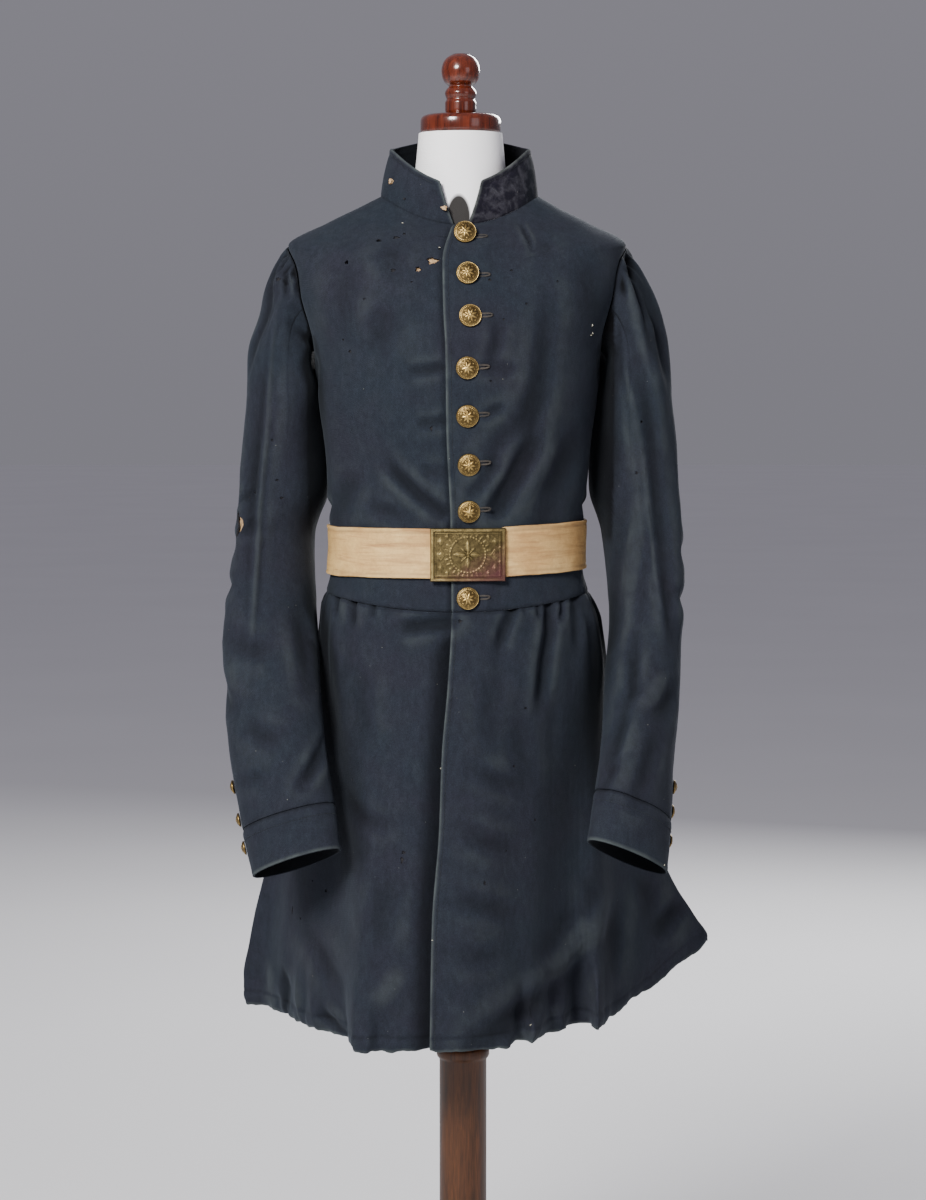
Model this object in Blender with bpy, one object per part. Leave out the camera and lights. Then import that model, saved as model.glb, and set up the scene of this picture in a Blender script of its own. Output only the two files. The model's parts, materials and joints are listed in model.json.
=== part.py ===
"""A dark wool frock coat with a standing collar, a buff waist belt and a cast plate, on a
limbless dress form that stands on a turned pole and a round base.

Left and right are as seen from the front. The front faces -Y and the floor is Z = 0.
Tables are in millimetres and degrees, and every mesh is made in metres.
"""

import math

import bmesh
import bpy
import numpy as np

MM = 0.001

# Cloth
WALL = 2.0  # thickness of every cloth wall
HALF_SEAM = 0.17  # each panel stops this far short of a seam line
LAP = 2.8  # how far the top front stands over the front beneath it
LAP_FLAT, LAP_END = 20.0, 42.0  # right of the middle, the top front comes down between these
LAP_TOP, LAP_NECK = 12.2, 13.0  # and between these levels, under the collar
LAP_START = -34.0  # the belt rises onto the lap from here
UNDERLAP = 12.0  # the under front reaches this far right of the middle
UNDERLAP_TOP = 11.5  # above this level the two fronts only meet
FRONTS_GAP = 0.6  # and stand this far apart
UNDERLAP_SKIRT = 7.5  # degrees that the under skirt reaches past the front
LAP_SEARCH = (-14.0, 8.0)  # degrees between which the skirt's lapped edge lies

# How many spans of mesh each panel has across it
FRONT_SPANS, BACK_SPANS, COLLAR_SPANS, SKIRT_SPANS, TAIL_SPANS, BELT_SPANS = {-1: 10, 1: 11}, 6, 13, \
    {-1: 36, 1: 38}, 12, 45

# Body of the coat, one row for each level from the waist seam up to the neck seam
BODY_COLUMNS = ("level", "centre", "half_width", "front", "back", "z_front", "z_side", "z_back", "boxy")
BODY_ROWS = (
    (0, -6.5, 137.9, 103, 92, 944, 959, 964, 2.1),
    (1, -6.5, 132.6, 100, 89, 978, 980, 981, 2.1),
    (2, -6.5, 131.5, 99, 88, 1004, 1004, 1004, 2.1),
    (3, -6.5, 132.4, 101, 90, 1030, 1030, 1030, 2.1),
    (4, -6.0, 135.2, 106, 96, 1060, 1060, 1060, 2.15),
    (5, -5.5, 139.8, 115, 106, 1111, 1111, 1111, 2.2),
    (6, -5.5, 146.5, 121, 116, 1168, 1168, 1168, 2.25),
    (7, -6.0, 149.8, 120, 119, 1212, 1212, 1212, 2.35),
    (8, -6.5, 167.0, 112, 118, 1262, 1268, 1272, 2.55),
    (9, -6.5, 173.0, 101, 112, 1287, 1300, 1306, 2.5),
    (10, -6.5, 176.0, 92, 104, 1303, 1320, 1330, 2.4),
    (11, -6.0, 136.0, 80, 88, 1319, 1343, 1353, 2.2),
    (12, -5.0, 104.0, 69, 70, 1331, 1359, 1373, 2.1),
    (13, -3.7, 82.0, 59, 54, 1339, 1371, 1386, 2.05),
)

# Seam lines of the body, by level
SIDE_SEAM = ((0, 80), (3, 82), (6.95, 86), (7.3, 76), (7.7, 71), (8.1, 68), (8.6, 67), (9.1, 69),
             (9.5, 74), (9.8, 83), (10, 98))
SHOULDER_SEAM = ((10, 98), (11, 102), (12, 104), (13, 104))
BACK_SEAM = ((0, 160), (2, 158), (4, 153), (6, 143), (7, 133), (7.7, 124), (8.2, 116), (8.6, 115.5),
             (9.1, 114), (9.5, 110), (9.8, 104), (10, 98))
SIDE_LEVELS = (0, 0.5, 1.2, 2, 3, 4, 5, 6, 6.95)  # rows up the side seam to the underarm
FRONT_ARMHOLE = (6.95, 7.3, 7.7, 8.1, 8.6, 9.1, 9.5, 9.8, 10)  # rows up the front of the armhole
BACK_ARMHOLE = (10, 9.8, 9.5, 9.1, 8.6, 8.2)  # rows down the back of the armhole
SHOULDER_LEVELS = (10.7, 11.5, 12.2, 13)  # rows along the shoulder seam
UNDERARM_TURN = 1.8  # how late the armhole rises from the underarm to the back seam
UNDERARM_BACK = 1.6  # how early it runs back

# Edge of the top front: distance right of the middle line of the form, by height
LAP_EDGE = ((500, -33.5), (630, -31), (720, -24), (800, -21), (870, -15), (944, -11.2), (1035, -12.2),
            (1130, -16.2), (1210, -17.2), (1250, -19.3), (1300, -20.3), (1339, -10))

# Standing collar: its top ring, and where its two front ends stand
COLLAR_CENTRE, COLLAR_HALF_WIDTH, COLLAR_FRONT, COLLAR_BACK = -3.0, 72.5, 57.0, 52.0
COLLAR_Z_FRONT, COLLAR_Z_SIDE, COLLAR_Z_BACK = 1380.5, 1420.0, 1434.0
COLLAR_BULGE = 1.2
COLLAR_ENDS = {-1: (-10.0, -24.2), 1: (6.0, 19.3)}  # (foot, top) for each side

# Sleeves: sections down the arm. out is the distance from the middle of the coat, ahead is
# toward the back, turn is the angle of the broad axis from straight ahead, pitch lifts the
# front of the section and roll lowers its outer side
COAT_MIDDLE = -6.0
ARM_COLUMNS = ("step", "height", "out", "ahead", "broad", "narrow", "turn", "pitch", "roll")
ARM_ROWS = {
    -1: (
        (1, 1165, 184.5, 8, 58, 32, 18, 0, 0),
        (2, 1108, 183.0, 11, 60, 34, 31, 0, 0),
        (3, 1070, 184.5, 12, 60, 35, 34, 2, 0),
        (4, 1017, 193.5, 11, 58, 35, 30, 4, 2),
        (5, 945, 196.0, -11, 56, 38, 44, 8, 4),
        (6, 862, 191.5, -55, 50, 40, 82, 14, 8),
        (7, 807, 186.0, -76, 50.5, 37, 96, 18, 11),
        (8, 733, 173.0, -98, 50.5, 33, 106, 20, 14),
        (9, 688, 164.0, -116, 48.5, 31, 108, 20, 15),
    ),
    1: (
        (1, 1165, 187.0, 8, 58, 33, 20, 0, 0),
        (2, 1108, 187.0, 11, 60, 34, 32, 0, 0),
        (3, 1070, 188.0, 12, 60, 35, 34, 2, 0),
        (4, 1020, 194.5, 11, 59, 34, 29, 4, 2),
        (5, 945, 198.5, 0, 56, 34, 24, 8, 5),
        (6, 867, 193.0, -36, 50, 40, 0, 14, 10),
        (7, 800, 187.0, -66, 50, 38.5, -16, 18, 14),
        (8, 744, 181.0, -93, 49.5, 35, -42, 20, 17),
        (9, 694, 174.0, -114, 48.5, 31, -56, 20, 18),
    ),
}
SLEEVE_STEPS = (0, 0.1, 0.28, 0.55, 1, 1.5, 2, 2.5, 3, 3.5, 4, 4.5, 5, 5.5, 6, 6.6, 7.3, 8)
CUFF_STEPS = (8, 8.5, 9)  # the cuff is the last stretch of the sleeve
CUFF_TALL = 45.0
SEAM_FRONT, SEAM_BACK = 2, 13  # columns of the armhole where the two sleeve seams start
ARMHOLE_COLUMNS = 19
LABEL_FRONT, LABEL_BACK = -20.0, 195.0  # the same seams as angles round the arm
ARMHOLE_GAP = 0.6  # between a sleeve head and the body
HEAD_OUT, HEAD_DOWN = 0.6, 0.5  # direction in which a sleeve leaves its armhole
CUFF_GAP = 0.4

# Long troughs of the sleeves: angle_top, angle_low, step_top, step_low, half_width, depth
SLEEVE_FOLDS = {
    -1: ((40, 62, 0.5, 5.2, 22, -4.0), (98, 84, 2.6, 5.4, 20, -4.0), (-10, 8, 3.6, 6.2, 22, -4.0)),
    1: ((52, 20, 0.4, 5.6, 22, -5.0), (112, 92, 2.2, 5.2, 20, -4.0), (-4, -22, 3.8, 6.0, 20, -4.0)),
}

# Skirt: its hem seen from above. angle is where the same thread leaves the waist seam, lift is
# how far the hem hangs above the front hem, flare is how much of the spread comes near the hem
HEM_HEIGHT = 500.0
HEM_COLUMNS = ("angle", "x", "y", "lift", "flare")
HEM_LEFT = (
    (-180, -8, 168, 0, 0), (-170, -60, 170, 0, 0), (-162, -100, 156, 0, 0), (-154, -135, 162, 0, 0),
    (-146, -160, 142, 0, 0), (-138, -190, 146, 0, 0), (-130, -205, 120, 0, 0), (-122, -232, 122, 0, 0),
    (-114, -241, 97, 0, 0), (-106, -221, 88, 0, 0), (-98, -204, 60, 0, 0), (-91, -194, 30, 0, 0),
    (-85, -183, 20, 0, 0), (-80, -176, -12, 0, 0), (-75, -167, -18, 0, 0), (-70, -158, -42, 0, 0),
    (-65, -147, -45, 0, 0), (-60, -136, -62, 0, 0), (-54, -120, -80, 0, 0), (-50, -117, -112, 0, 0),
    (-46, -112, -147, 0, 0), (-40, -97, -153, 0, 0), (-34, -84, -146, 0, 0), (-22, -58, -150, 0, 0),
    (-4, -15, -149, 0, 0), (9, 15, -142, 0, 0),
)
HEM_RIGHT = (
    (-12, -34, -152, 0, 0), (0, -5, -151, 0, 0), (12, 30, -137, 0, 0), (20, 50, -124, 0, 0),
    (26, 61, -99, 0, 0), (32, 72, -108, 0, 0), (38, 80, -94, 0, 0), (44, 91, -52, 0, 0),
    (50, 103, -49, 0, 0), (56, 119, -5, 0, 0), (61, 130, -9, 0, 0), (66, 142, -42, 0, 0),
    (72, 152, -10, 0, 0), (78, 162, 28, 0, 0.02), (86, 182, 62, 7, 0.08), (94, 206, 92, 16, 0.16),
    (102, 232, 118, 33, 0.24), (110, 258, 142, 47, 0.3), (117, 277, 160, 59, 0.3),
    (124, 266, 182, 56, 0.28), (132, 238, 176, 44, 0.22), (140, 205, 190, 32, 0.16),
    (148, 170, 178, 22, 0.1), (156, 130, 188, 12, 0.05), (165, 80, 172, 5, 0), (180, -8, 168, 0, 0),
)
SPREAD = ((0, 0), (0.03, 0.02), (0.1, 0.07), (0.21, 0.17), (0.45, 0.45), (0.664, 0.74), (0.85, 0.93),
          (0.94, 1.0), (1, 0.985))  # how far down the skirt how much of its spread is reached
PUFF = {-1: ((0, 0), (0.03, 6.0), (0.1, 6.5), (0.3, 2.5), (0.6, 1.0), (1, 0)),
        1: ((0, 0), (0.03, 8.0), (0.07, 13.0), (0.15, 14.0), (0.3, 9.0), (0.6, 3.0), (1, 0))}
PUFF_FRONT = 0.25  # share of the puff at the front
FLARE_POWER = 7.0
TAIL_SEAM = {-1: -136.0, 1: 136.0}
SKIRT_ROWS = (0, 0.03, 0.1, 0.26, 0.5, 0.75, 0.94, 1)
WAIST_GAP = 0.4

# Gathers just under the waist seam: angle, half_width, depth, reach (down the skirt)
GATHERS = {
    -1: ((-54, 5, 3.0, 0.3), (-70, 5, 3.5, 0.3), (-86, 5, 3.5, 0.35), (-103, 5, 3.5, 0.3),
         (-120, 5, 3.5, 0.35)),
    1: ((19, 5, 2.5, 0.2), (36, 4.5, 3.0, 0.3), (43, 4, 3.5, 0.5), (52, 5, 3.0, 0.25), (68, 5, 3.5, 0.35),
        (84, 5, 3.5, 0.3), (101, 5, 3.5, 0.35), (119, 5, 3.5, 0.3)),
}

# Belt and plate
BELT_MIDDLE, BELT_TALL, BELT_THICK, BELT_GAP = 1003.2, 50.0, 2.6, 1.4
BELT_RISE = 5.0  # the right side sits this much higher
BELT_OPEN = 15.0  # the two ends stop this many degrees from the middle of the plate
PLATE_X, PLATE_Z, PLATE_WIDE, PLATE_TALL = 5.1, 1002.4, 77.0, 54.5
PLATE_THICK, PLATE_RIM, PLATE_RIM_UP = 2.6, 4.0, 1.6
PLATE_SLOPE, PLATE_MIDDLE = 0.8, 12.0  # run of the rim's slopes, half width of the plate's middle span
PLATE_YAW, PLATE_BEND = 0.066, 0.0018  # it turns with the waist and bends less
PLATE_SINK = 1.2  # its middle may lie this much nearer, because the strap is open behind it

# Buttons: profile of radius and height over the back, as shares of the button's radius
BUTTON_PROFILE = ((0.95, 0.0), (1.0, 0.1), (0.95, 0.2), (0.78, 0.3), (0.45, 0.4))
BUTTON_TOP = 0.44
FRONT_BUTTON_RADIUS, CUFF_BUTTON_RADIUS = 11.6, 7.3
# (right of the middle, height, seat); seat is how far it stands over the lap's true curve, which
# the front's flat faces cut inside of
FRONT_BUTTONS = ((2.0, 1325.0, 0.4), (4.8, 1285.0, 0.4), (7.2, 1244.0, 0.3), (4.2, 1192.0, 0.25),
                 (4.5, 1144.0, -0.4), (5.8, 1095.0, 0.1), (5.8, 1047.5, 0.75), (4.7, 957.5, 0.55))
CUFF_BUTTONS = {-1: ((7.43, 100), (7.84, 98), (8.34, 98)),
                1: ((7.43, 102), (7.82, 114), (8.36, 118))}  # (step, angle round the arm)
FRONT_BUTTON_SIDES, CUFF_BUTTON_SIDES = 12, 8
CUFF_BUTTON_SEAT = 0.4

# Moth holes that go right through, and the lining behind the two places that show it
# (right of the middle, height, half width, half height)
CHEST_HOLES = ((-31.0, 1301.0, 5.2, 3.8), (-45.5, 1292.0, 3.2, 2.6), (-86.0, 1318.0, 3.0, 2.4))
ELBOW_HOLE_STEP, ELBOW_HOLE_ANGLE, ELBOW_HOLE_WIDE, ELBOW_HOLE_TALL = 3.78, 62.0, 4.6, 12.5
LINING_GAP, LINING_THICK = 0.7, 1.0
CHEST_LINING = (8.6, 10.7)  # levels
ELBOW_LINING = (3.0, 4.5)  # steps
HOLE_SIDES, HOLE_UNEVEN, HOLE_REACH = 9, 0.14, 6.0

# Dress form and stand
FORM_INSET_COLUMNS = ("level", "ends", "sides")
FORM_INSET = ((0, 8, 8), (6, 7, 7), (8, 7, 10), (9.5, 7, 9), (10, 6.5, 7), (10.6, 6, 4), (12, 5, 3.5),
              (13, 6, 5))
FORM_BOTTOM, FORM_BOTTOM_SHARE = 890.0, 0.9
FORM_COLUMNS = 26
FORM_LEVELS = (0, 2, 4, 5.5, 7, 8, 9, 9.6, 10, 10.5, 11.2, 12, 13)
NECK_X = -2.5
NECK = ((1387.0, 48.5), (1400.0, 47.0), (1436.0, 43.5))  # (height, radius)
CAP = ((1436.3, 40.0), (1438.0, 41.8), (1450.0, 41.8), (1453.5, 40.0), (1455.0, 36.0))
FINIAL = ((1455.3, 14.5), (1460.0, 16.2), (1468.0, 16.2), (1471.5, 14.5), (1473.0, 15.2), (1477.5, 16.4),
          (1482.0, 14.5), (1484.5, 12.0), (1488.0, 16.0), (1494.0, 19.0), (1501.0, 20.0), (1508.0, 18.6),
          (1514.0, 14.6), (1518.0, 8.0))
POLE = ((40.3, 30.0), (56.0, 30.0), (62.0, 25.0), (461.0, 25.0), (464.0, 28.0), (472.0, 28.0),
        (475.0, 25.0), (889.6, 25.0))
BASE = ((0.0, 196.0), (4.0, 200.0), (18.0, 200.0), (26.0, 192.0), (34.0, 120.0), (40.0, 60.0))

# name: colour, roughness, metallic
FINISHES = {
    "wool": ((0.030, 0.037, 0.052), 0.9, 0.0),
    "lining": ((0.42, 0.30, 0.18), 0.85, 0.0),
    "buff": ((0.72, 0.62, 0.42), 0.7, 0.0),
    "brass": ((0.62, 0.47, 0.20), 0.35, 1.0),
    "old_brass": ((0.45, 0.37, 0.19), 0.45, 1.0),
    "white_cotton": ((0.80, 0.79, 0.76), 0.85, 0.0),
    "mahogany": ((0.16, 0.035, 0.018), 0.2, 0.0),
    "brown_wood": ((0.12, 0.06, 0.035), 0.4, 0.0),
}


def smooth(pairs):
    """A smooth curve through (place, value) pairs that never swings past them."""
    x, y = np.array(pairs, float).T
    step = np.diff(x)
    slope = np.diff(y) / step
    left, right = slope[:-1], slope[1:]
    weight_left, weight_right = 2 * step[1:] + step[:-1], step[1:] + 2 * step[:-1]
    same_way = left * right > 0
    safe_left, safe_right = np.where(same_way, left, 1), np.where(same_way, right, 1)
    mean = (weight_left + weight_right) / (weight_left / safe_left + weight_right / safe_right)
    tangent = np.concatenate([slope[:1], np.where(same_way, mean, 0), slope[-1:]])

    def value(place):
        place = np.clip(place, x[0], x[-1])
        i = np.clip(np.searchsorted(x, place, side="right") - 1, 0, len(x) - 2)
        h = x[i + 1] - x[i]
        t = (place - x[i]) / h
        return ((1 + 2 * t) * (1 - t) ** 2 * y[i] + t * (1 - t) ** 2 * h * tangent[i]
                + t * t * (3 - 2 * t) * y[i + 1] + t * t * (t - 1) * h * tangent[i + 1])

    return value


def curves(columns, rows):
    """A smooth curve for each named column of a table, read by its first column."""
    return {name: smooth([(row[0], row[i]) for row in rows]) for i, name in enumerate(columns)}


def ease(t):
    """0 up to t = 0, 1 from t = 1, smooth between."""
    t = np.clip(t, 0, 1)
    return t * t * (3 - 2 * t)


def seam_line(pairs):
    """A seam up the body that runs on into the shoulder seam."""
    low, high = smooth(pairs), smooth(SHOULDER_SEAM)
    return lambda level: np.where(level <= SHOULDER_SEAM[0][0], low(level), high(level))


BODY = curves(BODY_COLUMNS, BODY_ROWS)
SIDE_LINE, BACK_LINE = seam_line(SIDE_SEAM), seam_line(BACK_SEAM)
LAP_LINE = smooth(LAP_EDGE)
ARM = {side: curves(ARM_COLUMNS, rows) for side, rows in ARM_ROWS.items()}
HEM = {-1: curves(HEM_COLUMNS, HEM_LEFT), 1: curves(HEM_COLUMNS, HEM_RIGHT)}
SPREAD_LINE = smooth(SPREAD)
PUFF_LINE = {side: smooth(rows) for side, rows in PUFF.items()}
INSET = curves(FORM_INSET_COLUMNS, FORM_INSET)


def ring(angle, centre, half_width, front, back, z_front, z_side, z_back, boxy=2.0):
    """Points round one closed section, by angle from the front (-Y) toward the right (+X)."""
    s, c = np.sin(np.radians(angle)), np.cos(np.radians(angle))
    round_off = (np.abs(s) ** boxy + np.abs(c) ** boxy) ** (-1 / boxy)
    depth = np.where(c > 0, front, back)
    z_end = np.where(c > 0, z_front, z_back)
    x = centre + half_width * s * round_off
    return np.stack([x, -depth * c * round_off, z_side + (z_end - z_side) * c * c], -1)


def body(angle, level):
    """The outer face of the coat's body."""
    angle, level = np.broadcast_arrays(np.asarray(angle, float), np.asarray(level, float))
    return ring(angle, *(BODY[name](level) for name in BODY_COLUMNS[1:]))


def body_angle(x, level):
    """The angle near the front at which the body passes a place right of the middle."""
    share = (x - BODY["centre"](level)) / BODY["half_width"](level)
    return np.degrees(np.arcsin(share))


def facing(surface, a, b, step_a=0.5, step_b=0.02):
    """Unit normals of a surface of two parameters, pointing along d/da cross d/db."""
    across = np.cross(surface(a + step_a, b) - surface(a - step_a, b),
                      surface(a, b + step_b) - surface(a, b - step_b))
    return across / np.linalg.norm(across, axis=-1, keepdims=True)


def lap(x, level=0.0):
    """How far the top front stands out at a place right of the middle."""
    across = 1 - ease((x - LAP_FLAT) / (LAP_END - LAP_FLAT))
    return LAP * across * (1 - ease((level - LAP_TOP) / (LAP_NECK - LAP_TOP)))


def seam_shift(surface, a, b):
    """The change of the first parameter that moves a point by half a seam gap."""
    step = np.linalg.norm(surface(a + 0.5, b) - surface(a - 0.5, b), axis=-1)
    return HALF_SEAM / step


def finish(name):
    """A plain material of one finish."""
    material = bpy.data.materials.get(name)
    if material is None:
        material = bpy.data.materials.new(name)
        material.use_nodes = True
        shader = material.node_tree.nodes["Principled BSDF"]
        colour, roughness, metallic = FINISHES[name]
        shader.inputs["Base Color"].default_value = (*colour, 1)
        shader.inputs["Roughness"].default_value = roughness
        shader.inputs["Metallic"].default_value = metallic
    return material


def add_object(name, points, faces, material):
    """A closed mesh object from points in millimetres."""
    mesh = bpy.data.meshes.new(name)
    built = bmesh.new()
    verts = [built.verts.new(tuple(float(c) * MM for c in p)) for p in points]
    for face in faces:
        built.faces.new([verts[i] for i in face])
    bmesh.ops.recalc_face_normals(built, faces=built.faces)
    built.to_mesh(mesh)
    built.free()
    mesh.shade_smooth()
    mesh.set_sharp_from_angle(angle=math.radians(40))
    mesh.materials.append(finish(material))
    made = bpy.data.objects.new(name, mesh)
    bpy.context.collection.objects.link(made)
    return made


def wall(name, outer, inner, material, closed=False):
    """A wall between two grids of points (rows, columns, 3); a closed one is a tube."""
    rows, columns = outer.shape[:2]
    points = np.concatenate([outer.reshape(-1, 3), inner.reshape(-1, 3)])
    inside = rows * columns
    spans = columns if closed else columns - 1
    faces = []
    for r in range(rows - 1):
        for c in range(spans):
            d = (c + 1) % columns
            quad = (r * columns + c, r * columns + d, (r + 1) * columns + d, (r + 1) * columns + c)
            faces.append(quad)
            faces.append(tuple(i + inside for i in reversed(quad)))
    for c in range(spans):
        d = (c + 1) % columns
        for r in (0, rows - 1):
            a, b = r * columns + c, r * columns + d
            faces.append((a, b, b + inside, a + inside))
    if not closed:
        for r in range(rows - 1):
            for c in (0, columns - 1):
                a, b = r * columns + c, (r + 1) * columns + c
                faces.append((a, b, b + inside, a + inside))
    return add_object(name, points, faces, material)


def turned(name, profile, x, y, segments, material):
    """A solid of revolution about a vertical axis, with flat ends."""
    turn = np.radians(np.arange(segments) * 360 / segments)
    points = [(x + r * math.cos(t), y + r * math.sin(t), z) for z, r in profile for t in turn]
    faces = [tuple(range(segments)), tuple(range((len(profile) - 1) * segments, len(profile) * segments))]
    for row in range(len(profile) - 1):
        for i in range(segments):
            j = (i + 1) % segments
            low, high = row * segments, (row + 1) * segments
            faces.append((low + i, low + j, high + j, high + i))
    return add_object(name, points, faces, material)


def span(first, last, columns):
    """Evenly spaced columns between two edges that may change from row to row."""
    share = np.linspace(0, 1, columns + 1)
    return np.asarray(first)[:, None] * (1 - share) + np.asarray(last)[:, None] * share


def body_panel(name, side, angle, level, lift):
    """A panel of the coat's body; angles are measured toward its own side."""
    angle, level = np.broadcast_arrays(angle * side, level)
    out = facing(body, angle, level)
    outer = body(angle, level) + out * np.asarray(lift)[..., None]
    return wall(name, outer, outer - out * WALL, "wool")


def seam_angles(line, level, sign):
    """A seam line of the body, moved by half a seam gap."""
    angle = line(level)
    return angle + sign * seam_shift(body, angle, level)


def lining(name, surface, a, b, sign):
    """A thin lining behind part of a panel, from the panel's own points moved in."""
    a, b = np.broadcast_arrays(a, b)
    out = sign * facing(surface, a, b)
    outer = surface(a, b) - out * (WALL + LINING_GAP)
    return wall(name, outer, outer - out * LINING_THICK, "lining")


def make_fronts():
    """Both fronts, from the lap or the underlap to the side seam, armhole and shoulder seam."""
    level = np.array(SIDE_LEVELS + FRONT_ARMHOLE[1:] + SHOULDER_LEVELS)
    outer_edge = seam_angles(SIDE_LINE, level, -1)
    height = BODY["z_front"](level)
    left_edge = np.where(level <= UNDERLAP_TOP, UNDERLAP, LAP_LINE(height) - FRONTS_GAP)
    angle = span(-body_angle(left_edge, level), outer_edge, FRONT_SPANS[-1])
    made = body_panel("front_left", -1, angle, level[:, None], np.zeros_like(angle))
    rows = (level >= CHEST_LINING[0]) & (level <= CHEST_LINING[1])
    lining("lining_chest", lambda a, b: body(-a, b), angle[rows, 1:5], level[rows, None], -1)
    for i, (x, z, half_wide, half_tall) in enumerate(CHEST_HOLES):
        cut_hole(made, body_at(x, z), half_wide, half_tall, f"chest_cutter_{i}")
    angle = span(body_angle(LAP_LINE(height), level), outer_edge, FRONT_SPANS[1])
    x = body(angle, level[:, None])[..., 0]
    body_panel("front_right", 1, angle, level[:, None], lap(x, level[:, None]))


def make_side_bodies():
    """The narrow panels under the arms."""
    columns = ARMHOLE_COLUMNS - len(FRONT_ARMHOLE) - len(BACK_ARMHOLE) + 2
    share = np.linspace(0, 1, columns + 1)
    top = FRONT_ARMHOLE[0] + (BACK_ARMHOLE[-1] - FRONT_ARMHOLE[0]) * share ** UNDERARM_TURN
    rows = np.array(SIDE_LEVELS) / SIDE_LEVELS[-1]
    level = rows[:, None] * top
    front = SIDE_LINE(np.minimum(level, SIDE_LEVELS[-1]))
    back = BACK_LINE(level)
    front = front + seam_shift(body, front, level)
    back = back - seam_shift(body, back, level)
    across = 1 - (1 - share) ** UNDERARM_BACK
    angle = front * (1 - across) + back * across
    for side, name in ((-1, "side_body_left"), (1, "side_body_right")):
        body_panel(name, side, angle, level, np.zeros_like(angle))


def make_backs():
    """Both backs, from the middle seam to the back seam, armhole and shoulder seam."""
    low = np.array(SIDE_LEVELS) * BACK_ARMHOLE[-1] / SIDE_LEVELS[-1]
    level = np.concatenate([low, BACK_ARMHOLE[-2::-1], SHOULDER_LEVELS])
    middle = 180 - seam_shift(body, 180.0, level)
    angle = span(seam_angles(BACK_LINE, level, 1), middle, BACK_SPANS)
    for side, name in ((-1, "back_left"), (1, "back_right")):
        body_panel(name, side, angle, level[:, None], np.zeros_like(angle))


def collar(angle, height):
    """The outer face of the standing collar, from its foot at 0 to its top at 1."""
    angle, height = np.broadcast_arrays(np.asarray(angle, float), np.asarray(height, float))
    foot = body(angle, BODY_ROWS[-1][0]) + np.array([0, 0, CUFF_GAP])
    top = ring(angle, COLLAR_CENTRE, COLLAR_HALF_WIDTH, COLLAR_FRONT, COLLAR_BACK,
               COLLAR_Z_FRONT, COLLAR_Z_SIDE, COLLAR_Z_BACK)
    bulge = np.sin(np.pi * np.clip(height, 0, 1)) * COLLAR_BULGE
    away = np.stack([np.sin(np.radians(angle)), -np.cos(np.radians(angle)), 0 * angle], -1)
    return foot + (top - foot) * height[..., None] + away * bulge[..., None]


def make_collar():
    """The two halves of the standing collar, open at the throat."""
    height = np.linspace(0, 1, 4)
    for side, name in ((-1, "collar_left"), (1, "collar_right")):
        foot, top = COLLAR_ENDS[side]
        foot_angle = np.degrees(np.arcsin((foot - BODY_ROWS[-1][1]) / BODY_ROWS[-1][2]))
        top_angle = np.degrees(np.arcsin((top - COLLAR_CENTRE) / COLLAR_HALF_WIDTH))
        end = foot_angle + (top_angle - foot_angle) * height
        middle = side * (180 - seam_shift(collar, 180.0, height))
        angle = span(end, middle, COLLAR_SPANS)
        out = facing(collar, angle, height[:, None])
        outer = collar(angle, height[:, None])
        wall(name, outer, outer - out * WALL, "wool")


def armhole(side, column):
    """Where column 0 to 19 of a sleeve meets the body, on the body's outer face."""
    column = np.mod(np.asarray(column, float), ARMHOLE_COLUMNS)
    front_end = len(FRONT_ARMHOLE) - 1
    back_end = front_end + len(BACK_ARMHOLE) - 1
    front_level = np.interp(column, np.arange(front_end + 1), FRONT_ARMHOLE)
    back_level = np.interp(column - front_end, np.arange(len(BACK_ARMHOLE)), BACK_ARMHOLE)
    share = np.clip((ARMHOLE_COLUMNS - column) / (ARMHOLE_COLUMNS - back_end), 0, 1)
    under_level = FRONT_ARMHOLE[0] + (BACK_ARMHOLE[-1] - FRONT_ARMHOLE[0]) * share ** UNDERARM_TURN
    across = 1 - (1 - share) ** UNDERARM_BACK
    under_angle = SIDE_LINE(SIDE_LEVELS[-1]) * (1 - across) + BACK_LINE(under_level) * across
    level = np.where(column <= front_end, front_level, np.where(column <= back_end, back_level, under_level))
    angle = np.where(column <= front_end, SIDE_LINE(front_level),
                     np.where(column <= back_end, BACK_LINE(back_level), under_angle))
    return body(side * angle, level)


ARMHOLE_MIDDLE = armhole(1, np.arange(ARMHOLE_COLUMNS)).mean(axis=0)


def arm_angle(column, step):
    """The angle round the arm of a column: 0 is ahead, 90 outward. It evens out down the arm."""
    column = np.asarray(column, float)
    turns = np.floor((column - SEAM_FRONT) / ARMHOLE_COLUMNS)
    local = column - turns * ARMHOLE_COLUMNS
    even = np.interp(local, (SEAM_FRONT, SEAM_BACK, SEAM_FRONT + ARMHOLE_COLUMNS),
                     (LABEL_FRONT, LABEL_BACK, LABEL_FRONT + 360))
    point = armhole(1, local)
    seen = np.degrees(np.arctan2(point[..., 2] - ARMHOLE_MIDDLE[2], -(point[..., 1] - ARMHOLE_MIDDLE[1])))
    seen = even + np.mod(seen - even + 180, 360) - 180
    share = ease(np.asarray(step, float))
    return seen * (1 - share) + even * share + 360 * turns


def sleeve_fold(side, angle, step):
    """How far the sleeve's long folds move its surface outward."""
    total = 0 * (angle + step)
    for angle_top, angle_low, step_top, step_low, half_width, depth in SLEEVE_FOLDS[side]:
        along = (step - step_top) / (step_low - step_top)
        middle = angle_top + (angle_low - angle_top) * np.clip(along, 0, 1)
        off = (np.mod(angle - middle + 180, 360) - 180) / half_width
        fade = np.sin(np.pi * np.clip(along, 0, 1)) ** 0.7
        total = total + depth * fade * np.exp(-off * off)
    return total


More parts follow.
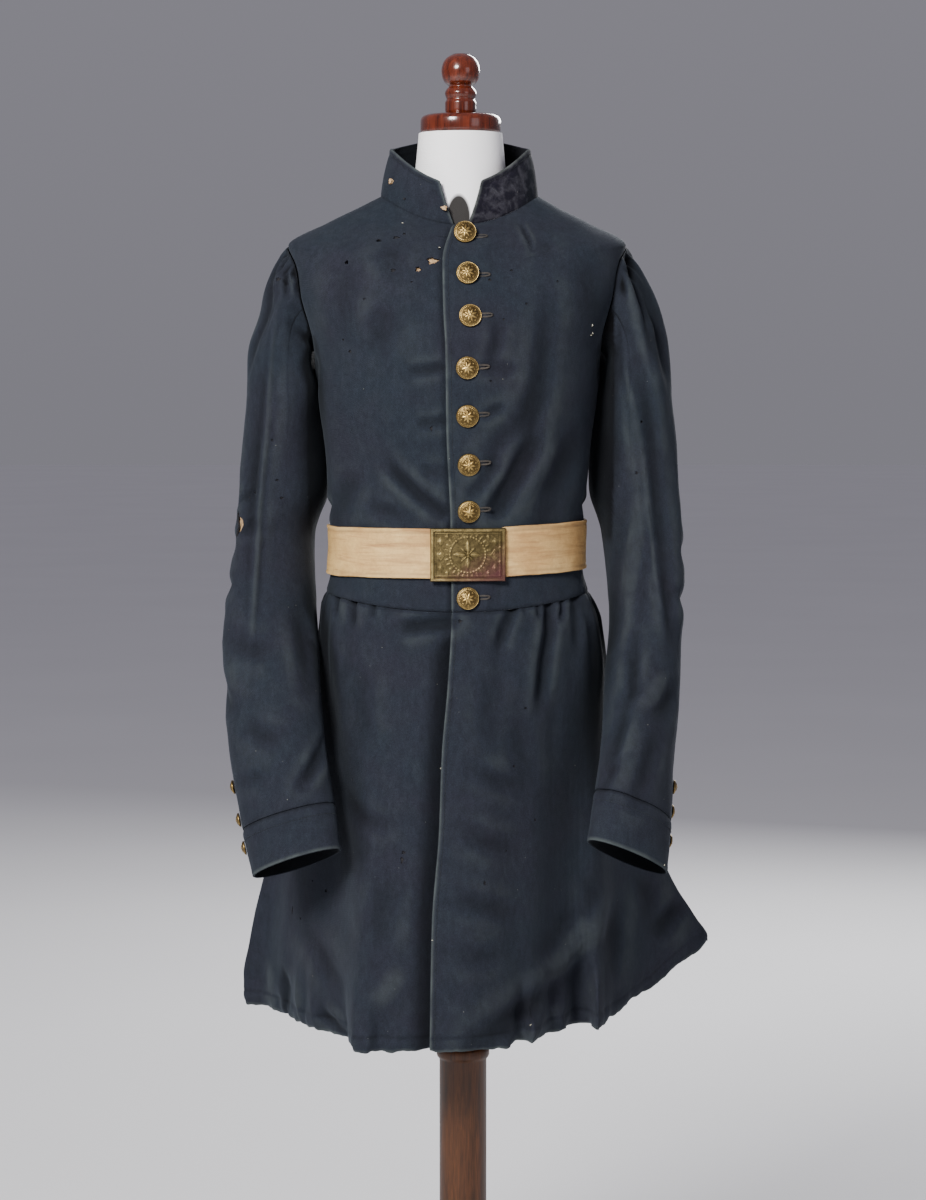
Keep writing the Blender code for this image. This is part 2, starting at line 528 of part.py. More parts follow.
def arm_section(side, angle, step):
    """A point of the tube below the armhole; x counts outward from the middle of the coat."""
    rows = ARM[side]
    angle, step = np.broadcast_arrays(np.asarray(angle, float), np.asarray(step, float))
    turn = np.radians(rows["turn"](step))
    round_arm = np.radians(angle) - turn
    fold = sleeve_fold(side, angle, step)
    broad = (rows["broad"](step) + fold) * np.cos(round_arm)
    narrow = (rows["narrow"](step) + fold) * np.sin(round_arm)
    ahead = broad * np.cos(turn) - narrow * np.sin(turn)
    outward = broad * np.sin(turn) + narrow * np.cos(turn)
    pitch, roll = np.radians(rows["pitch"](step)), np.radians(rows["roll"](step))
    return np.stack([rows["out"](step) + outward * np.cos(roll),
                     rows["ahead"](step) - ahead * np.cos(pitch),
                     rows["height"](step) + ahead * np.sin(pitch) - outward * np.sin(roll)], -1)


def sleeve(side, column, step):
    """The outer face of a sleeve, from the armhole at step 0 to the bottom of the cuff."""
    column, step = np.broadcast_arrays(np.asarray(column, float), np.asarray(step, float))
    low = arm_section(side, arm_angle(column, np.maximum(step, 1)), np.maximum(step, 1))
    start = armhole(side, column)
    start[..., 0] = side * (start[..., 0] - COAT_MIDDLE) + ARMHOLE_GAP
    end = arm_section(side, arm_angle(column, 1.0), 1.0)
    t = np.clip(step, 0, 1)[..., None]
    length = np.linalg.norm(end - start, axis=-1, keepdims=True)
    leave = length * np.array([HEAD_OUT, 0, -HEAD_DOWN])
    arrive = length * np.array([0, 0, -1.0])
    head = ((1 + 2 * t) * (1 - t) ** 2 * start + t * (1 - t) ** 2 * leave
            + t * t * (3 - 2 * t) * end + t * t * (t - 1) * arrive)
    point = np.where(step[..., None] < 1, head, low)
    point[..., 0] = COAT_MIDDLE + side * point[..., 0]
    return point


def sleeve_wall(name, side, column, steps, closed=False):
    """A panel or tube of a sleeve, by columns and steps."""
    step = np.asarray(steps, float)[:, None]
    column = np.broadcast_to(column, (len(steps), np.shape(column)[-1]))
    surface = lambda a, b: sleeve(side, a, b)
    out = -side * facing(surface, column, step, 0.1)
    outer = surface(column, step)
    flat = out * np.array([0, 1, 1])
    flat = flat / np.linalg.norm(flat, axis=-1, keepdims=True)
    out = np.where(step[..., None] == 0, flat, out)
    return wall(name, outer, outer - out * WALL, "wool", closed)


def sleeve_shift(side, column, steps):
    """The change of column that moves a sleeve seam by half a seam gap, at each step."""
    step = np.asarray(steps, float)
    length = np.linalg.norm(sleeve(side, column + 0.1, step) - sleeve(side, column - 0.1, step), axis=-1)
    return HALF_SEAM / (length / 0.2)


def make_sleeves():
    """Each sleeve's outer and under piece, and its cuff."""
    for side, word in ((-1, "left"), (1, "right")):
        front = sleeve_shift(side, SEAM_FRONT, SLEEVE_STEPS)
        back = sleeve_shift(side, SEAM_BACK, SLEEVE_STEPS)
        top = span(SEAM_FRONT + front, SEAM_BACK - back, SEAM_BACK - SEAM_FRONT)
        under = span(SEAM_BACK + back, SEAM_FRONT + ARMHOLE_COLUMNS - front,
                     ARMHOLE_COLUMNS - SEAM_BACK + SEAM_FRONT)
        made = sleeve_wall("top_sleeve_" + word, side, top, SLEEVE_STEPS)
        if side == -1:
            place = elbow_hole_place()
            cut_hole(made, place, ELBOW_HOLE_WIDE, ELBOW_HOLE_TALL, "elbow_cutter")
            step = np.array(SLEEVE_STEPS)
            rows = (step >= ELBOW_LINING[0]) & (step <= ELBOW_LINING[1])
            lining("lining_elbow", lambda a, b: sleeve(-1, a, b), top[rows, 3:6], step[rows, None], 1)
        sleeve_wall("under_sleeve_" + word, side, under, SLEEVE_STEPS)
        cuff_steps = (CUFF_STEPS[0] + CUFF_GAP / CUFF_TALL,) + CUFF_STEPS[1:]
        sleeve_wall("cuff_" + word, side, np.arange(ARMHOLE_COLUMNS), cuff_steps, closed=True)


def arm_point(side, angle, step):
    """A place on a sleeve below the armhole and the way it faces."""
    def surface(a, b):
        point = arm_section(side, a, b)
        point[..., 0] = COAT_MIDDLE + side * point[..., 0]
        return point
    angle, step = np.array(float(angle)), np.array(float(step))
    return surface(angle, step), -side * facing(surface, angle, step)


def elbow_hole_place():
    """The middle of the torn elbow and the way it faces."""
    return arm_point(-1, ELBOW_HOLE_ANGLE, ELBOW_HOLE_STEP)


def body_at(x, z):
    """A place on the front of the body, by its place right of the middle and its height."""
    level, angle = 6.0, 0.0
    levels_per_mm, degrees_per_mm = 0.02, 0.2
    for _ in range(40):
        point = body(angle, level)
        level = float(np.clip(level + (z - point[2]) * levels_per_mm, 0, BODY_ROWS[-1][0]))
        angle = float(angle + (x - point[0]) * degrees_per_mm)
    angle, level = np.array(angle), np.array(level)
    return body(angle, level), facing(body, angle, level)


def frame_of(out):
    """Two unit directions across a normal: one level, one upward."""
    level = np.cross([0, 0, 1.0], out)
    level = level / np.linalg.norm(level)
    return level, np.cross(out, level)


def cut_hole(made, place, half_wide, half_tall, name):
    """Cut an uneven oval through a wall."""
    point, out = place
    level, up = frame_of(out)
    sides = HOLE_SIDES
    points = []
    for depth in (-HOLE_REACH, HOLE_REACH):
        for i in range(sides):
            turn = 2 * math.pi * i / sides
            uneven = 1 + HOLE_UNEVEN * math.sin(3 * turn + 1)
            points.append(point + out * depth + level * half_wide * uneven * math.cos(turn)
                          + up * half_tall * uneven * math.sin(turn))
    faces = [tuple(range(sides)), tuple(range(sides, 2 * sides))]
    faces += [(i, (i + 1) % sides, (i + 1) % sides + sides, i + sides) for i in range(sides)]
    cutter = add_object(name, points, faces, "wool")
    cutter.hide_render = True
    cutter.display_type = "WIRE"
    cut = made.modifiers.new(name, "BOOLEAN")
    cut.operation = "DIFFERENCE"
    cut.solver = "EXACT"
    cut.object = cutter


def skirt(side, angle, down):
    """The outer face of the skirt, from the waist seam at 0 to the hem at 1."""
    angle, down = np.broadcast_arrays(np.asarray(angle, float), np.asarray(down, float))
    hem = HEM[side]
    waist = body(angle, 0.0)
    end = np.stack([hem["x"](angle), hem["y"](angle), HEM_HEIGHT + hem["lift"](angle)], -1)
    flare = hem["flare"](angle)
    spread = SPREAD_LINE(down) * (1 - flare) + flare * np.clip(down, 0, 1) ** FLARE_POWER
    point = waist + (end - waist) * spread[..., None]
    point[..., 2] = waist[..., 2] - WAIST_GAP + (end[..., 2] - waist[..., 2] + WAIST_GAP) * down
    side_on = np.sin(np.radians(angle)) ** 2
    dip = -PUFF_LINE[side](down) * (PUFF_FRONT + (1 - PUFF_FRONT) * side_on)
    for middle, half_width, depth, reach in GATHERS[side]:
        off = (angle - middle) / half_width
        fade = ease(down / 0.03) * (1 - ease((down - 0.05) / reach))
        dip = dip + depth * fade * np.exp(-off * off)
    away = np.stack([np.sin(np.radians(angle)), -np.cos(np.radians(angle)), 0 * angle], -1)
    return point - away * dip[..., None]


def skirt_panel(name, side, angle, lifted=False):
    """A panel of the skirt between two edges of angles."""
    down = np.array(SKIRT_ROWS)[:, None]
    surface = lambda a, b: skirt(side, a, b)
    out = -facing(surface, angle, down, 0.4, 0.01)
    outer = surface(angle, down)
    if lifted:
        outer = outer + out * lap(outer[..., 0])[..., None]
    return wall(name, outer, outer - out * WALL, "wool")


def lap_angles(rows):
    """The angle of the skirt's lapped edge, row by row."""
    found = []
    for down in rows:
        angle = np.linspace(*LAP_SEARCH, 89)
        point = skirt(1, angle, down)
        found.append(np.interp(LAP_LINE(point[len(angle) // 2, 2]), point[:, 0], angle))
    return np.array(found)


def make_skirt():
    """The front skirts and the tails behind them."""
    down = np.array(SKIRT_ROWS)
    for side, word in ((-1, "left"), (1, "right")):
        surface = lambda a, b: skirt(side, a, b)
        seam = TAIL_SEAM[side]
        shift = seam_shift(surface, seam, down)
        first = lap_angles(SKIRT_ROWS) if side == 1 else np.full(len(down), UNDERLAP_SKIRT)
        angle = span(first, seam - side * shift, SKIRT_SPANS[side])
        skirt_panel("skirt_" + word, side, angle, side == 1)
        middle = side * (180 - seam_shift(lambda a, b: skirt(side, a, b), side * 180.0, down))
        skirt_panel("tail_" + word, side, span(seam + side * shift, middle, TAIL_SPANS))


def belt_points(angle, share):
    """The coat's face under the belt, from the belt's lower edge at 0 to its upper at 1."""
    angle, share = np.broadcast_arrays(np.asarray(angle, float), np.asarray(share, float))
    rise = BELT_RISE * np.maximum(np.sin(np.radians(angle)), 0)
    height = BELT_MIDDLE + rise + (share - 0.5) * BELT_TALL
    level = np.interp(height, [row[6] for row in BODY_ROWS[1:4]], [row[0] for row in BODY_ROWS[1:4]])
    point = body(angle, level)
    out = facing(body, angle, level)
    onto = ease((point[..., 0] - LAP_START) / (LAP_LINE(BELT_MIDDLE) - LAP_START))
    over = np.where(np.cos(np.radians(angle)) > 0, lap(point[..., 0]) * onto, 0)
    point = point + out * over[..., None]
    point[..., 2] = height
    return point, out


def make_belt():
    """The belt's strap, open behind the plate, and the cast plate over its ends."""
    middle = float(body_angle(PLATE_X, 2.0))
    angle = np.linspace(middle + BELT_OPEN, middle + 360 - BELT_OPEN, BELT_SPANS + 1)
    point, out = belt_points(angle[None, :], np.array([0, 0.5, 1])[:, None])
    level_out = out * np.array([1, 1, 0])
    level_out = level_out / np.linalg.norm(level_out, axis=-1, keepdims=True)
    inner = point + level_out * BELT_GAP
    wall("belt_strap", inner + level_out * BELT_THICK, inner, "buff")
    half_wide, half_tall = PLATE_WIDE / 2, PLATE_TALL / 2
    inward = np.array((0, PLATE_SLOPE, PLATE_RIM, PLATE_RIM + PLATE_SLOPE))
    heights = np.concatenate([inward - half_tall, half_tall - inward[::-1]])
    widths = np.concatenate([inward - half_wide, (-PLATE_MIDDLE, PLATE_MIDDLE), half_wide - inward[::-1]])
    x, z = np.meshgrid(PLATE_X + widths, PLATE_Z + heights)
    bow = BELT_THICK + BELT_GAP + LAP - PLATE_SINK
    off = x - PLATE_X
    back = -BODY["front"](2.0) - bow + PLATE_YAW * off + PLATE_BEND * off ** 2
    edge = np.minimum(half_wide - np.abs(widths)[None, :], half_tall - np.abs(heights)[:, None])
    up = np.where((edge > PLATE_SLOPE / 2) & (edge < PLATE_RIM + PLATE_SLOPE / 2), PLATE_RIM_UP, 0)
    rear = np.stack([x, back, z], -1)
    front = np.stack([x, back - PLATE_THICK - up, z], -1)
    wall("belt_plate", front, rear, "old_brass")


def button(name, point, out, radius, segments, lift):
    """A domed button standing on a surface."""
    level, up = frame_of(out)
    point = point + out * lift
    turn = 2 * np.pi * np.arange(segments) / segments
    points = []
    for share, height in BUTTON_PROFILE:
        for t in turn:
            across = level * math.cos(t) + up * math.sin(t)
            points.append(point + across * radius * share + out * radius * height)
    points.append(point + out * radius * BUTTON_TOP)
    faces = [tuple(range(segments))]
    for row in range(len(BUTTON_PROFILE) - 1):
        for i in range(segments):
            j = (i + 1) % segments
            low, high = row * segments, (row + 1) * segments
            faces.append((low + i, low + j, high + j, high + i))
    last = (len(BUTTON_PROFILE) - 1) * segments
    faces += [(last + i, last + (i + 1) % segments, last + segments) for i in range(segments)]
    return add_object(name, points, faces, "brass")


def make_buttons():
    """Eight buttons down the front and three on each cuff."""
    for i, (x, z, seat) in enumerate(FRONT_BUTTONS, start=1):
        point, out = body_at(x, z)
        button(f"front_button_{i}", point, out, FRONT_BUTTON_RADIUS, FRONT_BUTTON_SIDES, LAP + seat)
    for side, word in ((-1, "left"), (1, "right")):
        for i, (step, angle) in enumerate(CUFF_BUTTONS[side], start=1):
            point, out = arm_point(side, angle, step)
            button(f"cuff_button_{word}_{i}", point, out, CUFF_BUTTON_RADIUS, CUFF_BUTTON_SIDES, CUFF_BUTTON_SEAT)


def make_form():
    """The limbless form inside the coat, with its neck."""
    angle = np.arange(0, 360, 360 / FORM_COLUMNS)
    level = np.array(FORM_LEVELS)
    grid_angle, grid_level = np.meshgrid(angle, level)
    out = facing(body, grid_angle, grid_level)
    side = np.sin(np.radians(grid_angle)) ** 2
    inset = INSET["ends"](grid_level) * (1 - side) + INSET["sides"](grid_level) * side
    rings = list(body(grid_angle, grid_level) - out * inset[..., None])
    bottom = rings[0] * np.array([FORM_BOTTOM_SHARE, FORM_BOTTOM_SHARE, 0]) + np.array([0, 0, FORM_BOTTOM])
    rings.insert(0, bottom)
    across = np.stack([np.sin(np.radians(angle)), -np.cos(np.radians(angle)), 0 * angle], -1)
    for height, radius in NECK:
        rings.append(across * radius + np.array([NECK_X, 0, height]))
    points = np.concatenate(rings)
    count = len(angle)
    faces = [tuple(range(count)), tuple(range(len(points) - count, len(points)))]
    for row in range(len(rings) - 1):
        for i in range(count):
            j = (i + 1) % count
            faces.append((row * count + i, row * count + j, (row + 1) * count + j, (row + 1) * count + i))
    add_object("dress_form", points, faces, "white_cotton")


def make_stand():
    """The neck's cap and finial, the pole and the round base."""
    turned("neck_cap", CAP, NECK_X, 0, 24, "mahogany")
    turned("finial", FINIAL, NECK_X, 0, 16, "mahogany")
    turned("pole", POLE, 0, 0, 20, "brown_wood")
    turned("base", BASE, 0, 0, 30, "brown_wood")


def main():
    for old in list(bpy.data.objects):
        bpy.data.objects.remove(old, do_unlink=True)
    make_fronts()
    make_side_bodies()
    make_backs()
    make_collar()
    make_sleeves()
    make_skirt()
    make_belt()
    make_buttons()
    make_form()
    make_stand()


main()
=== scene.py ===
import json
import math

import bmesh
import bpy
import numpy as np
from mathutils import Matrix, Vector
from mathutils.bvhtree import BVHTree

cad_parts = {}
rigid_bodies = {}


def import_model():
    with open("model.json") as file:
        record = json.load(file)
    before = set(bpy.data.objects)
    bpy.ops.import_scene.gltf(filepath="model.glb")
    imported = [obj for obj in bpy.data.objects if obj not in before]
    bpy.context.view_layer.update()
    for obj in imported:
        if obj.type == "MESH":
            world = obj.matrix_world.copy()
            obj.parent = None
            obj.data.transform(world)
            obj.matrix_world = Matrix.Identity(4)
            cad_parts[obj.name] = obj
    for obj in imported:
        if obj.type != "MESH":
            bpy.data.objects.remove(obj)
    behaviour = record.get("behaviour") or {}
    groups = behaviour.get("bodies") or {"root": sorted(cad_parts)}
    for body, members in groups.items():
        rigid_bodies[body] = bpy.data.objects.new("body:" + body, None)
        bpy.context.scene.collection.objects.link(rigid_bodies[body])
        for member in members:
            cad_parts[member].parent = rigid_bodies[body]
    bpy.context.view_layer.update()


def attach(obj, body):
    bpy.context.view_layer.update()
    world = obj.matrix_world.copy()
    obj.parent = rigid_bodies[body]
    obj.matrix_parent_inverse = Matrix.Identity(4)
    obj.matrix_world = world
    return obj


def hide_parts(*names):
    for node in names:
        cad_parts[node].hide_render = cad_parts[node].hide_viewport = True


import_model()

# A dark wool frock coat with its belt on a dress form and stand. Left and right are as seen from
# the front, which faces -Y. Tables are in millimetres and degrees, and meshes are made in metres.
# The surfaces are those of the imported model's solids, drawn finer and with their smaller folds.

MM = 0.001

# Cloth
WALL = 2.0  # thickness of every cloth wall
HALF_SEAM = 0.17  # each panel stops this far short of a seam line
LAP = 2.8  # how far the top front stands over the front beneath it
LAP_FLAT, LAP_END = 20.0, 42.0  # right of the middle, the top front comes down between these
LAP_TOP, LAP_NECK = 12.2, 13.0  # and between these levels, under the collar
LAP_START = -34.0  # the belt rises onto the lap from here
UNDERLAP = 12.0  # the under front reaches this far right of the middle
UNDERLAP_TOP = 11.5  # above this level the two fronts only meet
FRONTS_GAP = 0.6  # and stand this far apart
UNDERLAP_SKIRT = 7.5  # degrees that the under skirt reaches past the front
LAP_SEARCH = (-14.0, 8.0)  # degrees between which the skirt's lapped edge lies

# Body of the coat, one row for each level from the waist seam up to the neck seam
BODY_COLUMNS = ("level", "centre", "half_width", "front", "back", "z_front", "z_side", "z_back", "boxy")
BODY_ROWS = (
    (0, -6.5, 137.9, 103, 92, 944, 959, 964, 2.1),
    (1, -6.5, 132.6, 100, 89, 978, 980, 981, 2.1),
    (2, -6.5, 131.5, 99, 88, 1004, 1004, 1004, 2.1),
    (3, -6.5, 132.4, 101, 90, 1030, 1030, 1030, 2.1),
    (4, -6.0, 135.2, 106, 96, 1060, 1060, 1060, 2.15),
    (5, -5.5, 139.8, 115, 106, 1111, 1111, 1111, 2.2),
    (6, -5.5, 146.5, 121, 116, 1168, 1168, 1168, 2.25),
    (7, -6.0, 149.8, 120, 119, 1212, 1212, 1212, 2.35),
    (8, -6.5, 167.0, 112, 118, 1262, 1268, 1272, 2.55),
    (9, -6.5, 173.0, 101, 112, 1287, 1300, 1306, 2.5),
    (10, -6.5, 176.0, 92, 104, 1303, 1320, 1330, 2.4),
    (11, -6.0, 136.0, 80, 88, 1319, 1343, 1353, 2.2),
    (12, -5.0, 104.0, 69, 70, 1331, 1359, 1373, 2.1),
    (13, -3.7, 82.0, 59, 54, 1339, 1371, 1386, 2.05),
)

# Seam lines of the body, by level
SIDE_SEAM = ((0, 80), (3, 82), (6.95, 86), (7.3, 76), (7.7, 71), (8.1, 68), (8.6, 67), (9.1, 69),
             (9.5, 74), (9.8, 83), (10, 98))
SHOULDER_SEAM = ((10, 98), (11, 102), (12, 104), (13, 104))
BACK_SEAM = ((0, 160), (2, 158), (4, 153), (6, 143), (7, 133), (7.7, 124), (8.2, 116), (8.6, 115.5),
             (9.1, 114), (9.5, 110), (9.8, 104), (10, 98))
SIDE_LEVELS = (0, 0.5, 1.2, 2, 3, 4, 5, 6, 6.95)  # rows up the side seam to the underarm
FRONT_ARMHOLE = (6.95, 7.3, 7.7, 8.1, 8.6, 9.1, 9.5, 9.8, 10)  # rows up the front of the armhole
BACK_ARMHOLE = (10, 9.8, 9.5, 9.1, 8.6, 8.2)  # rows down the back of the armhole
UNDERARM_TURN = 1.8  # how late the armhole rises from the underarm to the back seam
UNDERARM_BACK = 1.6  # how early it runs back

# Edge of the top front: distance right of the middle line of the form, by height
LAP_EDGE = ((500, -33.5), (630, -31), (720, -24), (800, -21), (870, -15), (944, -11.2), (1035, -12.2),
            (1130, -16.2), (1210, -17.2), (1250, -19.3), (1300, -20.3), (1339, -10))

# Standing collar: its top ring, and where its two front ends stand
COLLAR_CENTRE, COLLAR_HALF_WIDTH, COLLAR_FRONT, COLLAR_BACK = -3.0, 72.5, 57.0, 52.0
COLLAR_Z_FRONT, COLLAR_Z_SIDE, COLLAR_Z_BACK = 1380.5, 1420.0, 1434.0
COLLAR_BULGE = 1.2
COLLAR_ENDS = {-1: (-10.0, -24.2), 1: (6.0, 19.3)}  # (foot, top) for each side

# Sleeves: sections down the arm. out is the distance from the middle of the coat, ahead is
# toward the back, turn is the angle of the broad axis from straight ahead, pitch lifts the
# front of the section and roll lowers its outer side
COAT_MIDDLE = -6.0
ARM_COLUMNS = ("step", "height", "out", "ahead", "broad", "narrow", "turn", "pitch", "roll")
ARM_ROWS = {
    -1: (
        (1, 1165, 184.5, 8, 58, 32, 18, 0, 0),
        (2, 1108, 183.0, 11, 60, 34, 31, 0, 0),
        (3, 1070, 184.5, 12, 60, 35, 34, 2, 0),
        (4, 1017, 193.5, 11, 58, 35, 30, 4, 2),
        (5, 945, 196.0, -11, 56, 38, 44, 8, 4),
        (6, 862, 191.5, -55, 50, 40, 82, 14, 8),
        (7, 807, 186.0, -76, 50.5, 37, 96, 18, 11),
        (8, 733, 173.0, -98, 50.5, 33, 106, 20, 14),
        (9, 688, 164.0, -116, 48.5, 31, 108, 20, 15),
    ),
    1: (
        (1, 1165, 187.0, 8, 58, 33, 20, 0, 0),
        (2, 1108, 187.0, 11, 60, 34, 32, 0, 0),
        (3, 1070, 188.0, 12, 60, 35, 34, 2, 0),
        (4, 1020, 194.5, 11, 59, 34, 29, 4, 2),
        (5, 945, 198.5, 0, 56, 34, 24, 8, 5),
        (6, 867, 193.0, -36, 50, 40, 0, 14, 10),
        (7, 800, 187.0, -66, 50, 38.5, -16, 18, 14),
        (8, 744, 181.0, -93, 49.5, 35, -42, 20, 17),
        (9, 694, 174.0, -114, 48.5, 31, -56, 20, 18),
    ),
}
CUFF_STEPS = (8, 8.5, 9)  # the cuff is the last stretch of the sleeve
CUFF_TALL = 45.0
SEAM_FRONT, SEAM_BACK = 2, 13  # columns of the armhole where the two sleeve seams start
ARMHOLE_COLUMNS = 19
LABEL_FRONT, LABEL_BACK = -20.0, 195.0  # the same seams as angles round the arm
ARMHOLE_GAP = 0.6  # between a sleeve head and the body
HEAD_OUT, HEAD_DOWN = 0.6, 0.5  # direction in which a sleeve leaves its armhole
CUFF_GAP = 0.4

# Long troughs of the sleeves: angle_top, angle_low, step_top, step_low, half_width, depth
SLEEVE_FOLDS = {
    -1: ((40, 62, 0.5, 5.2, 22, -4.0), (98, 84, 2.6, 5.4, 20, -4.0), (-10, 8, 3.6, 6.2, 22, -4.0)),
    1: ((52, 20, 0.4, 5.6, 22, -5.0), (112, 92, 2.2, 5.2, 20, -4.0), (-4, -22, 3.8, 6.0, 20, -4.0)),
}

# Skirt: its hem seen from above. angle is where the same thread leaves the waist seam, lift is
# how far the hem hangs above the front hem, flare is how much of the spread comes near the hem
HEM_HEIGHT = 500.0
HEM_COLUMNS = ("angle", "x", "y", "lift", "flare")
HEM_LEFT = (
    (-180, -8, 168, 0, 0), (-170, -60, 170, 0, 0), (-162, -100, 156, 0, 0), (-154, -135, 162, 0, 0),
    (-146, -160, 142, 0, 0), (-138, -190, 146, 0, 0), (-130, -205, 120, 0, 0), (-122, -232, 122, 0, 0),
    (-114, -241, 97, 0, 0), (-106, -221, 88, 0, 0), (-98, -204, 60, 0, 0), (-91, -194, 30, 0, 0),
    (-85, -183, 20, 0, 0), (-80, -176, -12, 0, 0), (-75, -167, -18, 0, 0), (-70, -158, -42, 0, 0),
    (-65, -147, -45, 0, 0), (-60, -136, -62, 0, 0), (-54, -120, -80, 0, 0), (-50, -117, -112, 0, 0),
    (-46, -112, -147, 0, 0), (-40, -97, -153, 0, 0), (-34, -84, -146, 0, 0), (-22, -58, -150, 0, 0),
    (-4, -15, -149, 0, 0), (9, 15, -142, 0, 0),
)
HEM_RIGHT = (
    (-12, -34, -152, 0, 0), (0, -5, -151, 0, 0), (12, 30, -137, 0, 0), (20, 50, -124, 0, 0),
    (26, 61, -99, 0, 0), (32, 72, -108, 0, 0), (38, 80, -94, 0, 0), (44, 91, -52, 0, 0),
    (50, 103, -49, 0, 0), (56, 119, -5, 0, 0), (61, 130, -9, 0, 0), (66, 142, -42, 0, 0),
    (72, 152, -10, 0, 0), (78, 162, 28, 0, 0.02), (86, 182, 62, 7, 0.08), (94, 206, 92, 16, 0.16),
    (102, 232, 118, 33, 0.24), (110, 258, 142, 47, 0.3), (117, 277, 160, 59, 0.3),
    (124, 266, 182, 56, 0.28), (132, 238, 176, 44, 0.22), (140, 205, 190, 32, 0.16),
    (148, 170, 178, 22, 0.1), (156, 130, 188, 12, 0.05), (165, 80, 172, 5, 0), (180, -8, 168, 0, 0),
)
SPREAD = ((0, 0), (0.03, 0.02), (0.1, 0.07), (0.21, 0.17), (0.45, 0.45), (0.664, 0.74), (0.85, 0.93),
          (0.94, 1.0), (1, 0.985))  # how far down the skirt how much of its spread is reached
PUFF = {-1: ((0, 0), (0.03, 6.0), (0.1, 6.5), (0.3, 2.5), (0.6, 1.0), (1, 0)),
        1: ((0, 0), (0.03, 8.0), (0.07, 13.0), (0.15, 14.0), (0.3, 9.0), (0.6, 3.0), (1, 0))}
PUFF_FRONT = 0.25  # share of the puff at the front
FLARE_POWER = 7.0
TAIL_SEAM = {-1: -136.0, 1: 136.0}
WAIST_GAP = 0.4

# Gathers just under the waist seam: angle, half_width, depth, reach (down the skirt)
GATHERS = {
    -1: ((-54, 5, 3.0, 0.3), (-70, 5, 3.5, 0.3), (-86, 5, 3.5, 0.35), (-103, 5, 3.5, 0.3),
         (-120, 5, 3.5, 0.35)),
    1: ((19, 5, 2.5, 0.2), (36, 4.5, 3.0, 0.3), (43, 4, 3.5, 0.5), (52, 5, 3.0, 0.25), (68, 5, 3.5, 0.35),
        (84, 5, 3.5, 0.3), (101, 5, 3.5, 0.35), (119, 5, 3.5, 0.3)),
}

# Belt and plate
BELT_MIDDLE, BELT_TALL, BELT_THICK, BELT_GAP = 1003.2, 50.0, 2.6, 1.4
BELT_RISE = 5.0  # the right side sits this much higher
BELT_OPEN = 15.0  # the two ends stop this many degrees from the middle of the plate
PLATE_X, PLATE_Z, PLATE_WIDE, PLATE_TALL = 5.1, 1002.4, 77.0, 54.5
PLATE_THICK = 2.6
PLATE_YAW, PLATE_BEND = 0.066, 0.0018  # it turns with the waist and bends less
PLATE_SINK = 1.2  # its middle may lie this much nearer, because the strap is open behind it

# Buttons
FRONT_BUTTON_RADIUS, CUFF_BUTTON_RADIUS = 11.6, 7.3
# (right of the middle, height, seat); seat is how far it stands over the lap's true curve, which
# the front's flat faces cut inside of
FRONT_BUTTONS = ((2.0, 1325.0, 0.4), (4.8, 1285.0, 0.4), (7.2, 1244.0, 0.3), (4.2, 1192.0, 0.25),
                 (4.5, 1144.0, -0.4), (5.8, 1095.0, 0.1), (5.8, 1047.5, 0.75), (4.7, 957.5, 0.55))
CUFF_BUTTONS = {-1: ((7.43, 100), (7.84, 98), (8.34, 98)),
                1: ((7.43, 102), (7.82, 114), (8.36, 118))}  # (step, angle round the arm)
CUFF_BUTTON_SEAT = 0.4

# The torn elbow, and the lining behind the two places that show it
ELBOW_HOLE_STEP, ELBOW_HOLE_WIDE, ELBOW_HOLE_TALL = 3.78, 4.6, 12.5
LINING_GAP, LINING_THICK = 0.7, 1.0
CHEST_LINING = (8.6, 10.7)  # levels
ELBOW_LINING = (3.0, 4.5)  # steps

# Dress form and stand
FORM_INSET_COLUMNS = ("level", "ends", "sides")
FORM_INSET = ((0, 8, 8), (6, 7, 7), (8, 7, 10), (9.5, 7, 9), (10, 6.5, 7), (10.6, 6, 4), (12, 5, 3.5),
              (13, 6, 5))
FORM_BOTTOM, FORM_BOTTOM_SHARE = 890.0, 0.9
NECK_X = -2.5
NECK = ((1387.0, 48.5), (1400.0, 47.0), (1436.0, 43.5))  # (height, radius)
CAP = ((1436.3, 40.0), (1438.0, 41.8), (1450.0, 41.8), (1453.5, 40.0), (1455.0, 36.0))
FINIAL = ((1455.3, 14.5), (1460.0, 16.2), (1468.0, 16.2), (1471.5, 14.5), (1473.0, 15.2), (1477.5, 16.4),
          (1482.0, 14.5), (1484.5, 12.0), (1488.0, 16.0), (1494.0, 19.0), (1501.0, 20.0), (1508.0, 18.6),
          (1514.0, 14.6), (1518.0, 8.0))
POLE = ((40.3, 30.0), (56.0, 30.0), (62.0, 25.0), (461.0, 25.0), (464.0, 28.0), (472.0, 28.0),
        (475.0, 25.0), (889.6, 25.0))
BASE = ((0.0, 196.0), (4.0, 200.0), (18.0, 200.0), (26.0, 192.0), (34.0, 120.0), (40.0, 60.0))


